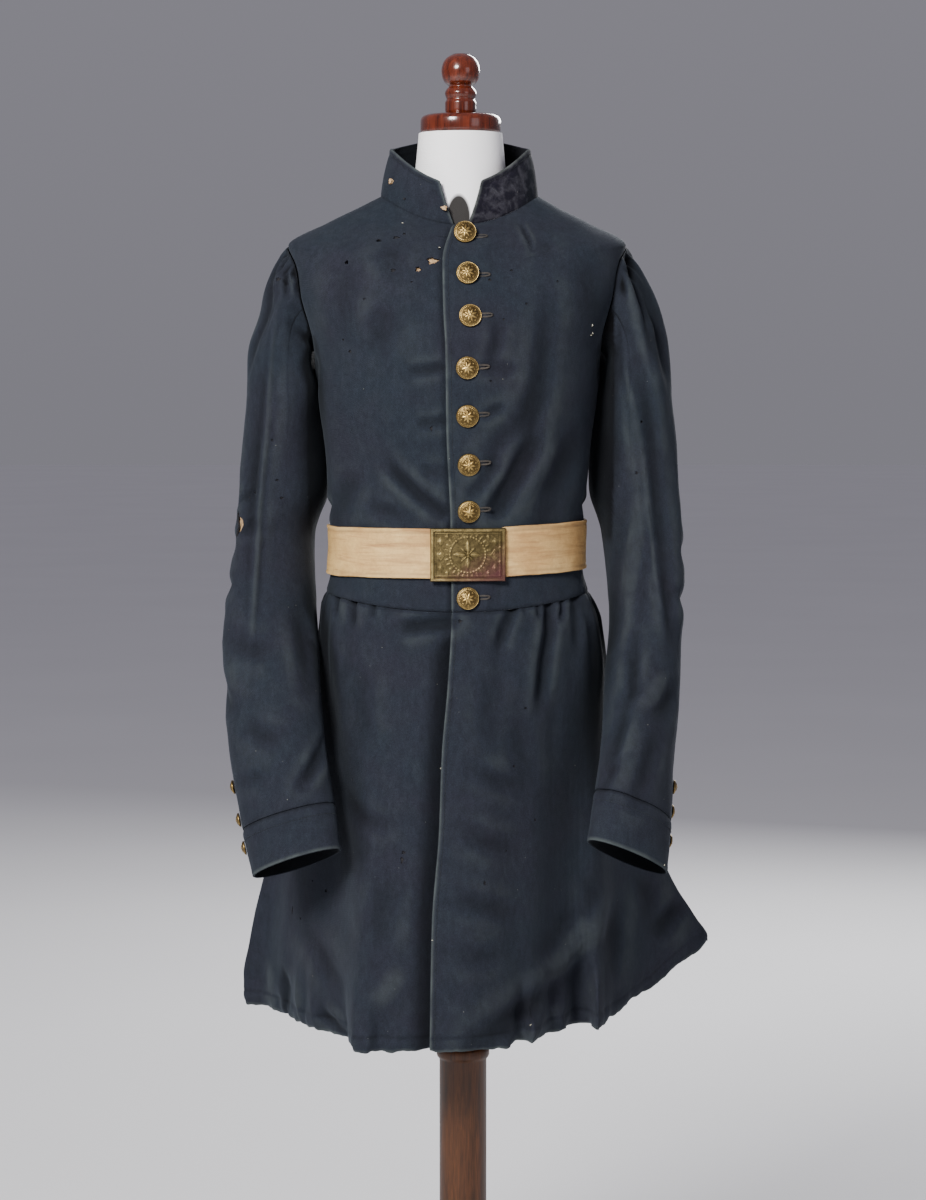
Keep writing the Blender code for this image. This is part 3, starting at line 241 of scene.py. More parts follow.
def smooth(pairs):
    """A smooth curve through (place, value) pairs that never swings past them."""
    x, y = np.array(pairs, float).T
    step = np.diff(x)
    slope = np.diff(y) / step
    left, right = slope[:-1], slope[1:]
    weight_left, weight_right = 2 * step[1:] + step[:-1], step[1:] + 2 * step[:-1]
    same_way = left * right > 0
    safe_left, safe_right = np.where(same_way, left, 1), np.where(same_way, right, 1)
    mean = (weight_left + weight_right) / (weight_left / safe_left + weight_right / safe_right)
    tangent = np.concatenate([slope[:1], np.where(same_way, mean, 0), slope[-1:]])

    def value(place):
        place = np.clip(place, x[0], x[-1])
        i = np.clip(np.searchsorted(x, place, side="right") - 1, 0, len(x) - 2)
        h = x[i + 1] - x[i]
        t = (place - x[i]) / h
        return ((1 + 2 * t) * (1 - t) ** 2 * y[i] + t * (1 - t) ** 2 * h * tangent[i]
                + t * t * (3 - 2 * t) * y[i + 1] + t * t * (t - 1) * h * tangent[i + 1])

    return value


def curves(columns, rows):
    """A smooth curve for each named column of a table, read by its first column."""
    return {name: smooth([(row[0], row[i]) for row in rows]) for i, name in enumerate(columns)}


def ease(t):
    """0 up to t = 0, 1 from t = 1, smooth between."""
    t = np.clip(t, 0, 1)
    return t * t * (3 - 2 * t)


def seam_line(pairs):
    """A seam up the body that runs on into the shoulder seam."""
    low, high = smooth(pairs), smooth(SHOULDER_SEAM)
    return lambda level: np.where(level <= SHOULDER_SEAM[0][0], low(level), high(level))


BODY = curves(BODY_COLUMNS, BODY_ROWS)
SIDE_LINE, BACK_LINE = seam_line(SIDE_SEAM), seam_line(BACK_SEAM)
LAP_LINE = smooth(LAP_EDGE)
ARM = {side: curves(ARM_COLUMNS, rows) for side, rows in ARM_ROWS.items()}
HEM = {-1: curves(HEM_COLUMNS, HEM_LEFT), 1: curves(HEM_COLUMNS, HEM_RIGHT)}
SPREAD_LINE = smooth(SPREAD)
PUFF_LINE = {side: smooth(rows) for side, rows in PUFF.items()}
INSET = curves(FORM_INSET_COLUMNS, FORM_INSET)


def ring(angle, centre, half_width, front, back, z_front, z_side, z_back, boxy=2.0):
    """Points round one closed section, by angle from the front (-Y) toward the right (+X)."""
    s, c = np.sin(np.radians(angle)), np.cos(np.radians(angle))
    round_off = (np.abs(s) ** boxy + np.abs(c) ** boxy) ** (-1 / boxy)
    depth = np.where(c > 0, front, back)
    z_end = np.where(c > 0, z_front, z_back)
    x = centre + half_width * s * round_off
    return np.stack([x, -depth * c * round_off, z_side + (z_end - z_side) * c * c], -1)


def body(angle, level):
    """The outer face of the coat's body."""
    angle, level = np.broadcast_arrays(np.asarray(angle, float), np.asarray(level, float))
    return ring(angle, *(BODY[name](level) for name in BODY_COLUMNS[1:]))


def body_angle(x, level):
    """The angle near the front at which the body passes a place right of the middle."""
    share = (x - BODY["centre"](level)) / BODY["half_width"](level)
    return np.degrees(np.arcsin(share))


def facing(surface, a, b, step_a=0.5, step_b=0.02):
    """Unit normals of a surface of two parameters, pointing along d/da cross d/db."""
    across = np.cross(surface(a + step_a, b) - surface(a - step_a, b),
                      surface(a, b + step_b) - surface(a, b - step_b))
    return across / np.linalg.norm(across, axis=-1, keepdims=True)


def lap(x, level=0.0):
    """How far the top front stands out at a place right of the middle."""
    across = 1 - ease((x - LAP_FLAT) / (LAP_END - LAP_FLAT))
    return LAP * across * (1 - ease((level - LAP_TOP) / (LAP_NECK - LAP_TOP)))


def seam_shift(surface, a, b):
    """The change of the first parameter that moves a point by half a seam gap."""
    step = np.linalg.norm(surface(a + 0.5, b) - surface(a - 0.5, b), axis=-1)
    return HALF_SEAM / step


def span(first, last, columns):
    """Evenly spaced columns between two edges that may change from row to row."""
    share = np.linspace(0, 1, columns + 1)
    return np.asarray(first)[:, None] * (1 - share) + np.asarray(last)[:, None] * share


def seam_angles(line, level, sign):
    """A seam line of the body, moved by half a seam gap."""
    angle = line(level)
    return angle + sign * seam_shift(body, angle, level)


def collar(angle, height):
    """The outer face of the standing collar, from its foot at 0 to its top at 1."""
    angle, height = np.broadcast_arrays(np.asarray(angle, float), np.asarray(height, float))
    foot = body(angle, BODY_ROWS[-1][0]) + np.array([0, 0, CUFF_GAP])
    top = ring(angle, COLLAR_CENTRE, COLLAR_HALF_WIDTH, COLLAR_FRONT, COLLAR_BACK,
               COLLAR_Z_FRONT, COLLAR_Z_SIDE, COLLAR_Z_BACK)
    bulge = np.sin(np.pi * np.clip(height, 0, 1)) * COLLAR_BULGE
    away = np.stack([np.sin(np.radians(angle)), -np.cos(np.radians(angle)), 0 * angle], -1)
    return foot + (top - foot) * height[..., None] + away * bulge[..., None]


def armhole(side, column):
    """Where column 0 to 19 of a sleeve meets the body, on the body's outer face."""
    column = np.mod(np.asarray(column, float), ARMHOLE_COLUMNS)
    front_end = len(FRONT_ARMHOLE) - 1
    back_end = front_end + len(BACK_ARMHOLE) - 1
    front_level = np.interp(column, np.arange(front_end + 1), FRONT_ARMHOLE)
    back_level = np.interp(column - front_end, np.arange(len(BACK_ARMHOLE)), BACK_ARMHOLE)
    share = np.clip((ARMHOLE_COLUMNS - column) / (ARMHOLE_COLUMNS - back_end), 0, 1)
    under_level = FRONT_ARMHOLE[0] + (BACK_ARMHOLE[-1] - FRONT_ARMHOLE[0]) * share ** UNDERARM_TURN
    across = 1 - (1 - share) ** UNDERARM_BACK
    under_angle = SIDE_LINE(SIDE_LEVELS[-1]) * (1 - across) + BACK_LINE(under_level) * across
    level = np.where(column <= front_end, front_level, np.where(column <= back_end, back_level, under_level))
    angle = np.where(column <= front_end, SIDE_LINE(front_level),
                     np.where(column <= back_end, BACK_LINE(back_level), under_angle))
    return body(side * angle, level)


ARMHOLE_MIDDLE = armhole(1, np.arange(ARMHOLE_COLUMNS)).mean(axis=0)


def arm_angle(column, step):
    """The angle round the arm of a column: 0 is ahead, 90 outward. It evens out down the arm."""
    column = np.asarray(column, float)
    turns = np.floor((column - SEAM_FRONT) / ARMHOLE_COLUMNS)
    local = column - turns * ARMHOLE_COLUMNS
    even = np.interp(local, (SEAM_FRONT, SEAM_BACK, SEAM_FRONT + ARMHOLE_COLUMNS),
                     (LABEL_FRONT, LABEL_BACK, LABEL_FRONT + 360))
    point = armhole(1, local)
    seen = np.degrees(np.arctan2(point[..., 2] - ARMHOLE_MIDDLE[2], -(point[..., 1] - ARMHOLE_MIDDLE[1])))
    seen = even + np.mod(seen - even + 180, 360) - 180
    share = ease(np.asarray(step, float))
    return seen * (1 - share) + even * share + 360 * turns


def sleeve_fold(side, angle, step):
    """How far the sleeve's long folds move its surface outward."""
    total = 0 * (angle + step)
    for angle_top, angle_low, step_top, step_low, half_width, depth in SLEEVE_FOLDS[side]:
        along = (step - step_top) / (step_low - step_top)
        middle = angle_top + (angle_low - angle_top) * np.clip(along, 0, 1)
        off = (np.mod(angle - middle + 180, 360) - 180) / half_width
        fade = np.sin(np.pi * np.clip(along, 0, 1)) ** 0.7
        total = total + depth * fade * np.exp(-off * off)
    return total


def arm_section(side, angle, step):
    """A point of the tube below the armhole; x counts outward from the middle of the coat."""
    rows = ARM[side]
    angle, step = np.broadcast_arrays(np.asarray(angle, float), np.asarray(step, float))
    turn = np.radians(rows["turn"](step))
    round_arm = np.radians(angle) - turn
    fold = sleeve_fold(side, angle, step)
    broad = (rows["broad"](step) + fold) * np.cos(round_arm)
    narrow = (rows["narrow"](step) + fold) * np.sin(round_arm)
    ahead = broad * np.cos(turn) - narrow * np.sin(turn)
    outward = broad * np.sin(turn) + narrow * np.cos(turn)
    pitch, roll = np.radians(rows["pitch"](step)), np.radians(rows["roll"](step))
    return np.stack([rows["out"](step) + outward * np.cos(roll),
                     rows["ahead"](step) - ahead * np.cos(pitch),
                     rows["height"](step) + ahead * np.sin(pitch) - outward * np.sin(roll)], -1)


def sleeve(side, column, step):
    """The outer face of a sleeve, from the armhole at step 0 to the bottom of the cuff."""
    column, step = np.broadcast_arrays(np.asarray(column, float), np.asarray(step, float))
    low = arm_section(side, arm_angle(column, np.maximum(step, 1)), np.maximum(step, 1))
    start = armhole(side, column)
    start[..., 0] = side * (start[..., 0] - COAT_MIDDLE) + ARMHOLE_GAP
    end = arm_section(side, arm_angle(column, 1.0), 1.0)
    t = np.clip(step, 0, 1)[..., None]
    length = np.linalg.norm(end - start, axis=-1, keepdims=True)
    leave = length * np.array([HEAD_OUT, 0, -HEAD_DOWN])
    arrive = length * np.array([0, 0, -1.0])
    head = ((1 + 2 * t) * (1 - t) ** 2 * start + t * (1 - t) ** 2 * leave
            + t * t * (3 - 2 * t) * end + t * t * (t - 1) * arrive)
    point = np.where(step[..., None] < 1, head, low)
    point[..., 0] = COAT_MIDDLE + side * point[..., 0]
    return point


def sleeve_shift(side, column, steps):
    """The change of column that moves a sleeve seam by half a seam gap, at each step."""
    step = np.asarray(steps, float)
    length = np.linalg.norm(sleeve(side, column + 0.1, step) - sleeve(side, column - 0.1, step), axis=-1)
    return HALF_SEAM / (length / 0.2)


def arm_point(side, angle, step):
    """A place on a sleeve below the armhole and the way it faces."""
    def surface(a, b):
        point = arm_section(side, a, b)
        point[..., 0] = COAT_MIDDLE + side * point[..., 0]
        return point
    angle, step = np.array(float(angle)), np.array(float(step))
    return surface(angle, step), -side * facing(surface, angle, step)


def body_at(x, z):
    """A place on the front of the body, by its place right of the middle and its height."""
    level, angle = 6.0, 0.0
    levels_per_mm, degrees_per_mm = 0.02, 0.2
    for _ in range(40):
        point = body(angle, level)
        level = float(np.clip(level + (z - point[2]) * levels_per_mm, 0, BODY_ROWS[-1][0]))
        angle = float(angle + (x - point[0]) * degrees_per_mm)
    angle, level = np.array(angle), np.array(level)
    return body(angle, level), facing(body, angle, level)


def frame_of(out):
    """Two unit directions across a normal: one level, one upward."""
    level = np.cross([0, 0, 1.0], out)
    level = level / np.linalg.norm(level)
    return level, np.cross(out, level)


def skirt(side, angle, down):
    """The outer face of the skirt, from the waist seam at 0 to the hem at 1."""
    angle, down = np.broadcast_arrays(np.asarray(angle, float), np.asarray(down, float))
    hem = HEM[side]
    waist = body(angle, 0.0)
    end = np.stack([hem["x"](angle), hem["y"](angle), HEM_HEIGHT + hem["lift"](angle)], -1)
    flare = hem["flare"](angle)
    spread = SPREAD_LINE(down) * (1 - flare) + flare * np.clip(down, 0, 1) ** FLARE_POWER
    point = waist + (end - waist) * spread[..., None]
    point[..., 2] = waist[..., 2] - WAIST_GAP + (end[..., 2] - waist[..., 2] + WAIST_GAP) * down
    side_on = np.sin(np.radians(angle)) ** 2
    dip = -PUFF_LINE[side](down) * (PUFF_FRONT + (1 - PUFF_FRONT) * side_on)
    for middle, half_width, depth, reach in GATHERS[side]:
        off = (angle - middle) / half_width
        fade = ease(down / 0.03) * (1 - ease((down - 0.05) / reach))
        dip = dip + depth * fade * np.exp(-off * off)
    away = np.stack([np.sin(np.radians(angle)), -np.cos(np.radians(angle)), 0 * angle], -1)
    return point - away * dip[..., None]


def lap_angles(rows):
    """The angle of the skirt's lapped edge, row by row."""
    found = []
    for down in rows:
        angle = np.linspace(*LAP_SEARCH, 89)
        point = skirt(1, angle, down)
        found.append(np.interp(LAP_LINE(point[len(angle) // 2, 2]), point[:, 0], angle))
    return np.array(found)


def belt_points(angle, share):
    """The coat's face under the belt, from the belt's lower edge at 0 to its upper at 1."""
    angle, share = np.broadcast_arrays(np.asarray(angle, float), np.asarray(share, float))
    rise = BELT_RISE * np.maximum(np.sin(np.radians(angle)), 0)
    height = BELT_MIDDLE + rise + (share - 0.5) * BELT_TALL
    level = np.interp(height, [row[6] for row in BODY_ROWS[1:4]], [row[0] for row in BODY_ROWS[1:4]])
    point = body(angle, level)
    out = facing(body, angle, level)
    onto = ease((point[..., 0] - LAP_START) / (LAP_LINE(BELT_MIDDLE) - LAP_START))
    over = np.where(np.cos(np.radians(angle)) > 0, lap(point[..., 0]) * onto, 0)
    point = point + out * over[..., None]
    point[..., 2] = height
    return point, out


# A fold is (path, half_width, depth, start, end): path is a line of points on the surface as seen
# from one side, depth is negative for a trough and positive for a ridge, and start and end say how
# much of the depth is left at the two ends.
BODY_FRONT_FOLDS = (
    (((-84, 1106), (-66, 1083), (-44, 1062), (-20, 1045)), 6, -3.4, 0, 0.7),
    (((-60, 1187), (-38, 1190), (-22, 1192)), 5, -1.8, 0, 1),
    (((-50, 1134), (-33, 1136), (-21, 1138)), 5, -1.6, 0, 1),
    (((-69, 1261), (-84, 1230), (-92, 1200)), 14, -1.5, 0, 0),
    (((-64, 1328), (-74, 1302), (-66, 1276)), 10, -1.3, 0, 0),
    (((-113, 1312), (-122, 1262), (-116, 1205)), 12, -1.2, 0, 0),
    (((-130, 1036), (-122, 1064), (-106, 1088)), 9, -1.6, 0.6, 0),
    (((35, 1052), (52, 1078), (68, 1103), (84, 1134)), 10, -3.6, 0.8, 0),
    (((84, 1037), (92, 1068), (108, 1103), (118, 1139)), 12, -2.2, 0.6, 0),
    (((13, 1066), (27, 1085), (42, 1104)), 7, -2.6, 0.7, 0),
    (((27, 1098), (43, 1119), (61, 1140), (74, 1170), (80, 1200)), 10, -2.0, 0.7, 0),
    (((87, 1300), (87, 1261), (82, 1210), (79, 1160), (68, 1119), (50, 1081), (36, 1050)), 9, -2.0, 0, 0.5),
    (((58, 1344), (62, 1334), (67, 1323), (71, 1311)), 2.2, -3.0, 0, 0.35),
    (((76, 1326), (82, 1316), (88, 1296)), 8, -0.8, 0, 0),
    (((37, 1244), (34, 1215), (26, 1196)), 6, -1.6, 0, 0.6),
    (((24, 1145), (34, 1150), (46, 1153)), 5, -1.4, 0.8, 0),
    (((118, 1310), (132, 1270), (134, 1225)), 14, -1.4, 0, 0),
    (((24, 1190), (40, 1192), (56, 1188)), 6, -1.2, 0.8, 0),
    (((-100, 1058), (-84, 1046), (-60, 1040)), 7, -1.4, 0, 0.4),
    (((-16, 1085), (-34, 1086), (-48, 1092)), 6, -1.0, 0.8, 0),
)
BODY_BACK_FOLDS = (
    (((-96, 1120), (-72, 1088), (-44, 1062), (-18, 1046)), 8, -3.6, 0, 0.6),
    (((88, 1112), (66, 1084), (40, 1060), (16, 1044)), 8, -3.0, 0, 0.6),
    (((-46, 1300), (-40, 1250), (-34, 1196)), 10, -2.2, 0, 0),
    (((54, 1306), (47, 1252), (50, 1204)), 11, -2.0, 0, 0),
    (((-110, 1052), (-70, 1042), (-26, 1048)), 6, -2.2, 0.3, 0),
    (((28, 1052), (66, 1044), (104, 1054)), 6, -2.4, 0, 0.3),
    (((-118, 1210), (-100, 1180), (-70, 1160)), 9, -2.2, 0.6, 0),
    (((116, 1216), (96, 1182), (66, 1168)), 9, -2.4, 0.6, 0),
    (((-20, 1352), (0, 1346), (22, 1352)), 6, -1.6, 0, 0),
    (((-70, 1340), (-88, 1322), (-112, 1310)), 8, -1.4, 0, 0),
)
SIDE_FOLDS = (
    (((-30, 1196), (-12, 1168), (-4, 1120)), 7, -2.0, 0.4, 0),
    (((22, 1200), (26, 1160), (14, 1110)), 8, -2.2, 0.4, 0),
    (((-34, 1060), (-6, 1046), (24, 1052)), 6, -2.0, 0, 0),
)
LEFT_SLEEVE_FRONT_FOLDS = (
    (((-190, 1285), (-199, 1190), (-204, 1119), (-212, 1043), (-217, 932), (-224, 850)), 3.0, 1.7, 0, 0),
    (((-198, 1262), (-207, 1190), (-213, 1119), (-220, 1043), (-226, 932)), 8, -1.8, 0, 0),
    (((-185, 1312), (-188, 1300), (-192, 1284)), 3, -2.8, 1, 0),
    (((-176, 1312), (-176, 1298), (-172, 1280)), 3, -2.8, 1, 0),
    (((-194, 1306), (-203, 1284), (-208, 1250)), 4, -3.2, 1, 0),
    (((-181, 1312), (-183, 1288), (-181, 1258)), 3, -2.4, 1, 0),
    (((-168, 1300), (-168, 1280), (-165, 1262)), 4, -2.0, 1, 0),
    (((-240, 1050), (-226, 1060), (-212, 1062)), 4, -2.2, 0.8, 0),
    (((-242, 1030), (-226, 1026), (-208, 1034)), 7, -1.8, 0.6, 0),
    (((-164, 770), (-151, 788), (-142, 808)), 6, -3.0, 0.5, 0.4),
    (((-229, 832), (-207, 818), (-178, 812)), 9, -1.6, 0, 0),
    (((-240, 914), (-219, 903), (-194, 906)), 10, -1.6, 0.5, 0),
    (((-175, 954), (-165, 911), (-156, 862)), 8, -2.2, 0, 0.4),
    (((-226, 770), (-212, 776), (-198, 770)), 6, -1.2, 0.5, 0),
)
LEFT_SLEEVE_SIDE_FOLDS = (
    (((-36, 1288), (-30, 1240), (-24, 1170)), 9, -2.6, 0.2, 0),
    (((6, 1300), (8, 1250), (14, 1180)), 8, -2.6, 0.5, 0),
    (((34, 1290), (36, 1240), (30, 1180)), 8, -2.6, 0.5, 0),
    (((40, 1060), (14, 1040), (-20, 1046)), 9, -3.0, 0.3, 0),
    (((38, 1010), (8, 1000), (-30, 1012)), 8, -3.2, 0.3, 0),
    (((22, 962), (-14, 958), (-50, 976)), 8, -2.6, 0.3, 0),
    (((-40, 880), (-70, 850), (-96, 838)), 10, -2.0, 0, 0),
    (((-50, 1130), (-40, 1080), (-46, 1020)), 12, -1.8, 0, 0),
)
RIGHT_SLEEVE_FRONT_FOLDS = (
    (((158, 1262), (172, 1190), (182, 1147), (190, 1085), (201, 977), (217, 884)), 2.6, 1.6, 0, 0),
    (((170, 1240), (181, 1190), (191, 1147), (199, 1085), (210, 977), (222, 900)), 7, -2.6, 0, 0),
    (((164, 1310), (164, 1284), (160, 1256)), 6, -1.4, 0.4, 0),
    (((171, 1312), (177, 1291), (188, 1252), (195, 1216), (201, 1180)), 5, -4.6, 1, 0),
    (((178, 1310), (190, 1284), (203, 1236), (211, 1170)), 6, -3.4, 1, 0),
    (((187, 1068), (182, 1021), (174, 962), (168, 908)), 6, 2.4, 0, 0.3),
    (((176, 914), (174, 862), (158, 834)), 6, -2.6, 0.4, 0),
    (((146, 786), (156, 813), (170, 853)), 6, -2.6, 0.4, 0),
    (((140, 760), (152, 784), (158, 800)), 5, -1.6, 0.5, 0),
    (((181, 834), (197, 853), (211, 884)), 8, 1.6, 0, 0),
    (((206, 994), (213, 942), (219, 891)), 6, -2.0, 0, 0),
    (((176, 752), (190, 793), (202, 832)), 8, -2.0, 0.5, 0),
    (((150, 1180), (158, 1120), (158, 1050)), 10, -1.6, 0, 0),
)
RIGHT_SLEEVE_SIDE_FOLDS = (
    (((-34, 1290), (-26, 1240), (-30, 1160)), 9, -2.4, 0.4, 0),
    (((8, 1302), (12, 1250), (6, 1176)), 8, -2.8, 0.5, 0),
    (((36, 1288), (34, 1236), (38, 1180)), 8, -2.4, 0.5, 0),
    (((42, 1052), (12, 1036), (-24, 1040)), 9, -3.0, 0.3, 0),
    (((36, 1004), (4, 992), (-34, 1006)), 8, -3.0, 0.3, 0),
    (((20, 950), (-16, 946), (-54, 966)), 9, -2.4, 0.3, 0),
    (((-60, 872), (-84, 846), (-110, 832)), 10, -2.0, 0, 0),
)
SLEEVE_BACK_FOLDS = (
    (((240, 1062), (206, 1046), (172, 1056)), 8, -2.8, 0, 0),
    (((238, 1020), (204, 1008), (170, 1018)), 8, -3.0, 0, 0),
    (((236, 980), (206, 972), (176, 984)), 9, -2.2, 0, 0),
    (((196, 1250), (204, 1180), (198, 1100)), 11, -2.4, 0.3, 0),
    (((178, 1280), (176, 1220), (182, 1150)), 9, -2.0, 0.5, 0),
)
SKIRT_FRONT_FOLDS = (
    (((-72, 926), (-44, 930), (-14, 934)), 7, -4.5, 0, 1),
    (((53, 950), (42, 925), (34, 900)), 5, -3.6, 1, 0),
    (((75, 958), (78, 945), (77, 932)), 3, -3.0, 1, 0),
    (((88, 957), (89, 924), (84, 893), (80, 852), (78, 826)), 5.5, -5.0, 0.9, 0),
    (((103, 960), (102, 941), (98, 926)), 3, -3.2, 1, 0),
    (((116, 962), (118, 932), (118, 890)), 5, -2.6, 1, 0),
    (((64, 956), (63, 946), (62, 938)), 2.5, -1.6, 1, 0),
    (((-131, 955), (-133, 935)), 3, -2.6, 1, 0),
    (((-114, 955), (-115, 922)), 4, -3.8, 1, 0),
    (((-92, 953), (-93, 934)), 3, -2.2, 1, 0),
    (((-122, 777), (-114, 750), (-100, 732), (-80, 727), (-62, 735)), 7, -2.0, 0, 0),
    (((18, 510), (50, 526), (79, 541), (104, 556)), 13, -3.8, 0.5, 0),
    (((150, 646), (136, 606), (104, 574), (62, 552)), 12, 4.2, 0, 0),
    (((128, 672), (137, 640), (134, 606), (116, 584)), 8, -2.2, 0, 0),
    (((-197, 560), (-192, 533), (-194, 500)), 7, -5.0, 0, 1),
    (((-152, 524), (-138, 513), (-126, 503)), 6, -3.6, 0, 0.7),
    (((-172, 612), (-150, 585), (-122, 539)), 10, -2.2, 0, 0),
    (((206, 566), (226, 592), (246, 610)), 11, -4.0, 0, 0),
    (((190, 655), (204, 615), (198, 570)), 10, -3.0, 0, 0),
    (((7, 786), (38, 770), (72, 762)), 8, -1.8, 0.2, 0),
    (((-3, 726), (27, 709), (60, 700)), 9, -1.8, 0.3, 0),
    (((-12, 656), (17, 648), (62, 632)), 9, -2.0, 0.3, 0),
    (((-14, 600), (20, 594), (50, 600)), 9, -1.6, 0.3, 0),
    (((158, 630), (160, 573), (151, 520)), 9, -3.0, 0, 0.4),
    (((-144, 915), (-138, 848), (-131, 780)), 8, -2.4, 0.3, 0),
    (((-106, 900), (-104, 840), (-100, 790)), 10, -1.6, 0, 0),
    (((-70, 690), (-84, 640), (-88, 590)), 12, -1.8, 0, 0),
    (((-60, 590), (-78, 560), (-96, 548)), 10, 1.8, 0, 0),
    (((52, 860), (60, 800), (64, 740)), 11, -1.6, 0, 0),
    (((28, 890), (26, 840), (32, 790)), 10, -1.4, 0, 0),
)
# Gathers of the back and sides: angle at the waist, angle below, reach down the skirt, half width
# in degrees and depth
BACK_GATHERS = (
    (-172, -170, 0.55, 2.2, -4.6), (-165, -166, 0.3, 1.6, -3.2), (-157, -155, 0.5, 2.2, -4.4),
    (-149, -150, 0.25, 1.6, -3.0), (-142, -140, 0.6, 2.3, -4.8), (-133, -131, 0.35, 1.8, -3.6),
    (-126, -126, 0.22, 1.5, -2.8), (-118, -115, 0.5, 2.3, -4.4), (-110, -108, 0.3, 1.7, -3.4),
    (-101, -99, 0.45, 2.2, -4.2), (-93, -92, 0.16, 1.7, -2.4), (-84, -82, 0.2, 2.2, -2.2),
    (-76, -75, 0.12, 1.6, -1.6), (78, 77, 0.14, 1.8, -1.8), (87, 88, 0.2, 2.3, -2.4),
    (95, 96, 0.25, 1.6, -3.0), (103, 105, 0.55, 2.3, -4.8), (112, 111, 0.3, 1.8, -3.4),
    (120, 123, 0.5, 2.2, -4.6), (128, 127, 0.25, 1.6, -3.0), (137, 140, 0.5, 2.3, -4.4),
    (146, 146, 0.3, 1.7, -3.2), (154, 157, 0.6, 2.3, -4.8), (163, 163, 0.25, 1.6, -3.0),
    (171, 173, 0.45, 2.0, -4.0),
)
# Puckers of the sleeve heads: column of the armhole, reach in steps, half width in columns, depth
HEAD_PUCKERS = {
    -1: ((5.2, 0.5, 0.16, -1.8), (6.1, 0.42, 0.15, -2.2), (6.9, 0.7, 0.2, -3.0), (7.6, 0.4, 0.15, -2.4),
         (8.2, 0.75, 0.2, -3.0), (8.9, 0.45, 0.16, -2.4), (9.6, 0.7, 0.2, -3.0), (10.4, 0.4, 0.16, -2.2),
         (11.2, 0.6, 0.2, -2.4), (12.1, 0.4, 0.16, -1.8)),
    1: ((5.0, 0.45, 0.16, -1.8), (5.9, 0.6, 0.18, -2.6), (6.7, 0.42, 0.15, -2.4), (7.4, 0.9, 0.22, -3.4),
        (8.1, 0.5, 0.16, -2.4), (8.8, 0.8, 0.2, -3.2), (9.5, 0.45, 0.16, -2.4), (10.2, 0.7, 0.2, -2.8),
        (11.0, 0.4, 0.16, -2.0), (12.0, 0.55, 0.18, -2.0)),
}


def noise(points, size, seed=0):
    """Smooth random values from -1 to 1 at points in space, repeatable."""
    place = np.asarray(points, float) / size + 31.7 * seed
    low = np.floor(place).astype(np.int64)
    t = place - low
    t = t * t * (3 - 2 * t)
    total = 0.0
    for corner in range(8):
        step = np.array([corner & 1, corner >> 1 & 1, corner >> 2 & 1])
        cell = low + step
        h = (cell[..., 0] * 374761393 + cell[..., 1] * 668265263 + cell[..., 2] * 974634777
             + seed * 144269504) & 0xFFFFFFFF
        h = (h ^ (h >> 13)) * 1274126177 & 0xFFFFFFFF
        h = (h ^ (h >> 16)) & 0xFFFF
        weight = np.prod(np.where(step == 1, t, 1 - t), axis=-1)
        total = total + weight * (h / 32767.5 - 1)
    return total


def fold_depth(p, q, rows):
    """The sum of a table of folds at places (p, q) of the view they are drawn in."""
    total = np.zeros(np.shape(p))
    for path, half_width, depth, start, end in rows:
        path = np.array(path, float)
        lengths = np.linalg.norm(np.diff(path, axis=0), axis=1)
        before = np.concatenate([[0], np.cumsum(lengths)])
        best = np.full(np.shape(p), 1e9)
        along = np.zeros(np.shape(p))
        for i, (a, b) in enumerate(zip(path[:-1], path[1:])):
            ab = b - a
            t = np.clip(((p - a[0]) * ab[0] + (q - a[1]) * ab[1]) / (ab @ ab), 0, 1)
            far = np.hypot(p - a[0] - t * ab[0], q - a[1] - t * ab[1])
            nearer = far < best
            best = np.where(nearer, far, best)
            along = np.where(nearer, (before[i] + t * lengths[i]) / before[-1], along)
        share = ((start + (1 - start) * ease(along / 0.4)) * (end + (1 - end) * ease((1 - along) / 0.4)))
        trough = np.exp(-(best / half_width) ** 2)
        shoulder = np.exp(-((best - 2.0 * half_width) / half_width) ** 2)
        total = total + depth * share * (trough - 0.3 * shoulder)
    return total


def seen_from(points, out, front=(), back=(), left=(), right=()):
    """Folds drawn in the four side views, each where the surface faces that view."""
    x, y, z = np.moveaxis(points, -1, 0)
    total = np.zeros(x.shape)
    for rows, p, toward in ((front, x, -out[..., 1]), (back, x, out[..., 1]),
                            (left, y, -out[..., 0]), (right, y, out[..., 0])):
        if rows:
            total = total + fold_depth(p, z, rows) * ease((toward - 0.1) / 0.35)
    return total


def edge_distances(points):
    """Distance in millimetres from each point of a grid to its four edges along the surface."""
    across = np.linalg.norm(np.diff(points, axis=1), axis=-1)
    down = np.linalg.norm(np.diff(points, axis=0), axis=-1)
    first = np.concatenate([np.zeros((len(points), 1)), np.cumsum(across, axis=1)], axis=1)
    low = np.concatenate([np.zeros((1, points.shape[1])), np.cumsum(down, axis=0)], axis=0)
    return first, first[:, -1:] - first, low, low[-1:] - low


# The inner side of every cloth wall is painted shade, near black.
INNER_SHADE, RIM_WEAR = -0.9, 0.15  # tone of a cloth's inner side and of its raw edges


def tone(fold, seams, edges=()):
    """The tone of a surface: painted shade in troughs, dark seams, rubbed ridges and free edges."""
    # Painted shade: the troughs of folds turn darker, while ridges turn lighter as rubbed.
    value = 0.55 * np.clip(fold / 4.0, -1, 0.4)
    for share, distance in seams:
        value = value - 0.42 * share * np.exp(-(distance / 1.5) ** 2)
    for distance in edges:
        value = value + 0.8 * np.exp(-(distance / 1.5) ** 2)
    return np.clip(value, -1, 1)


def rolled(distance, depth=0.9, reach=2.2):
    """How far cloth sinks into a seam at a distance from it."""
    return -depth * np.exp(-(distance / reach) ** 2)


def linked(name, data):
    """A new object of the scene."""
    made = bpy.data.objects.new(name, data)
    bpy.context.collection.objects.link(made)
    return made


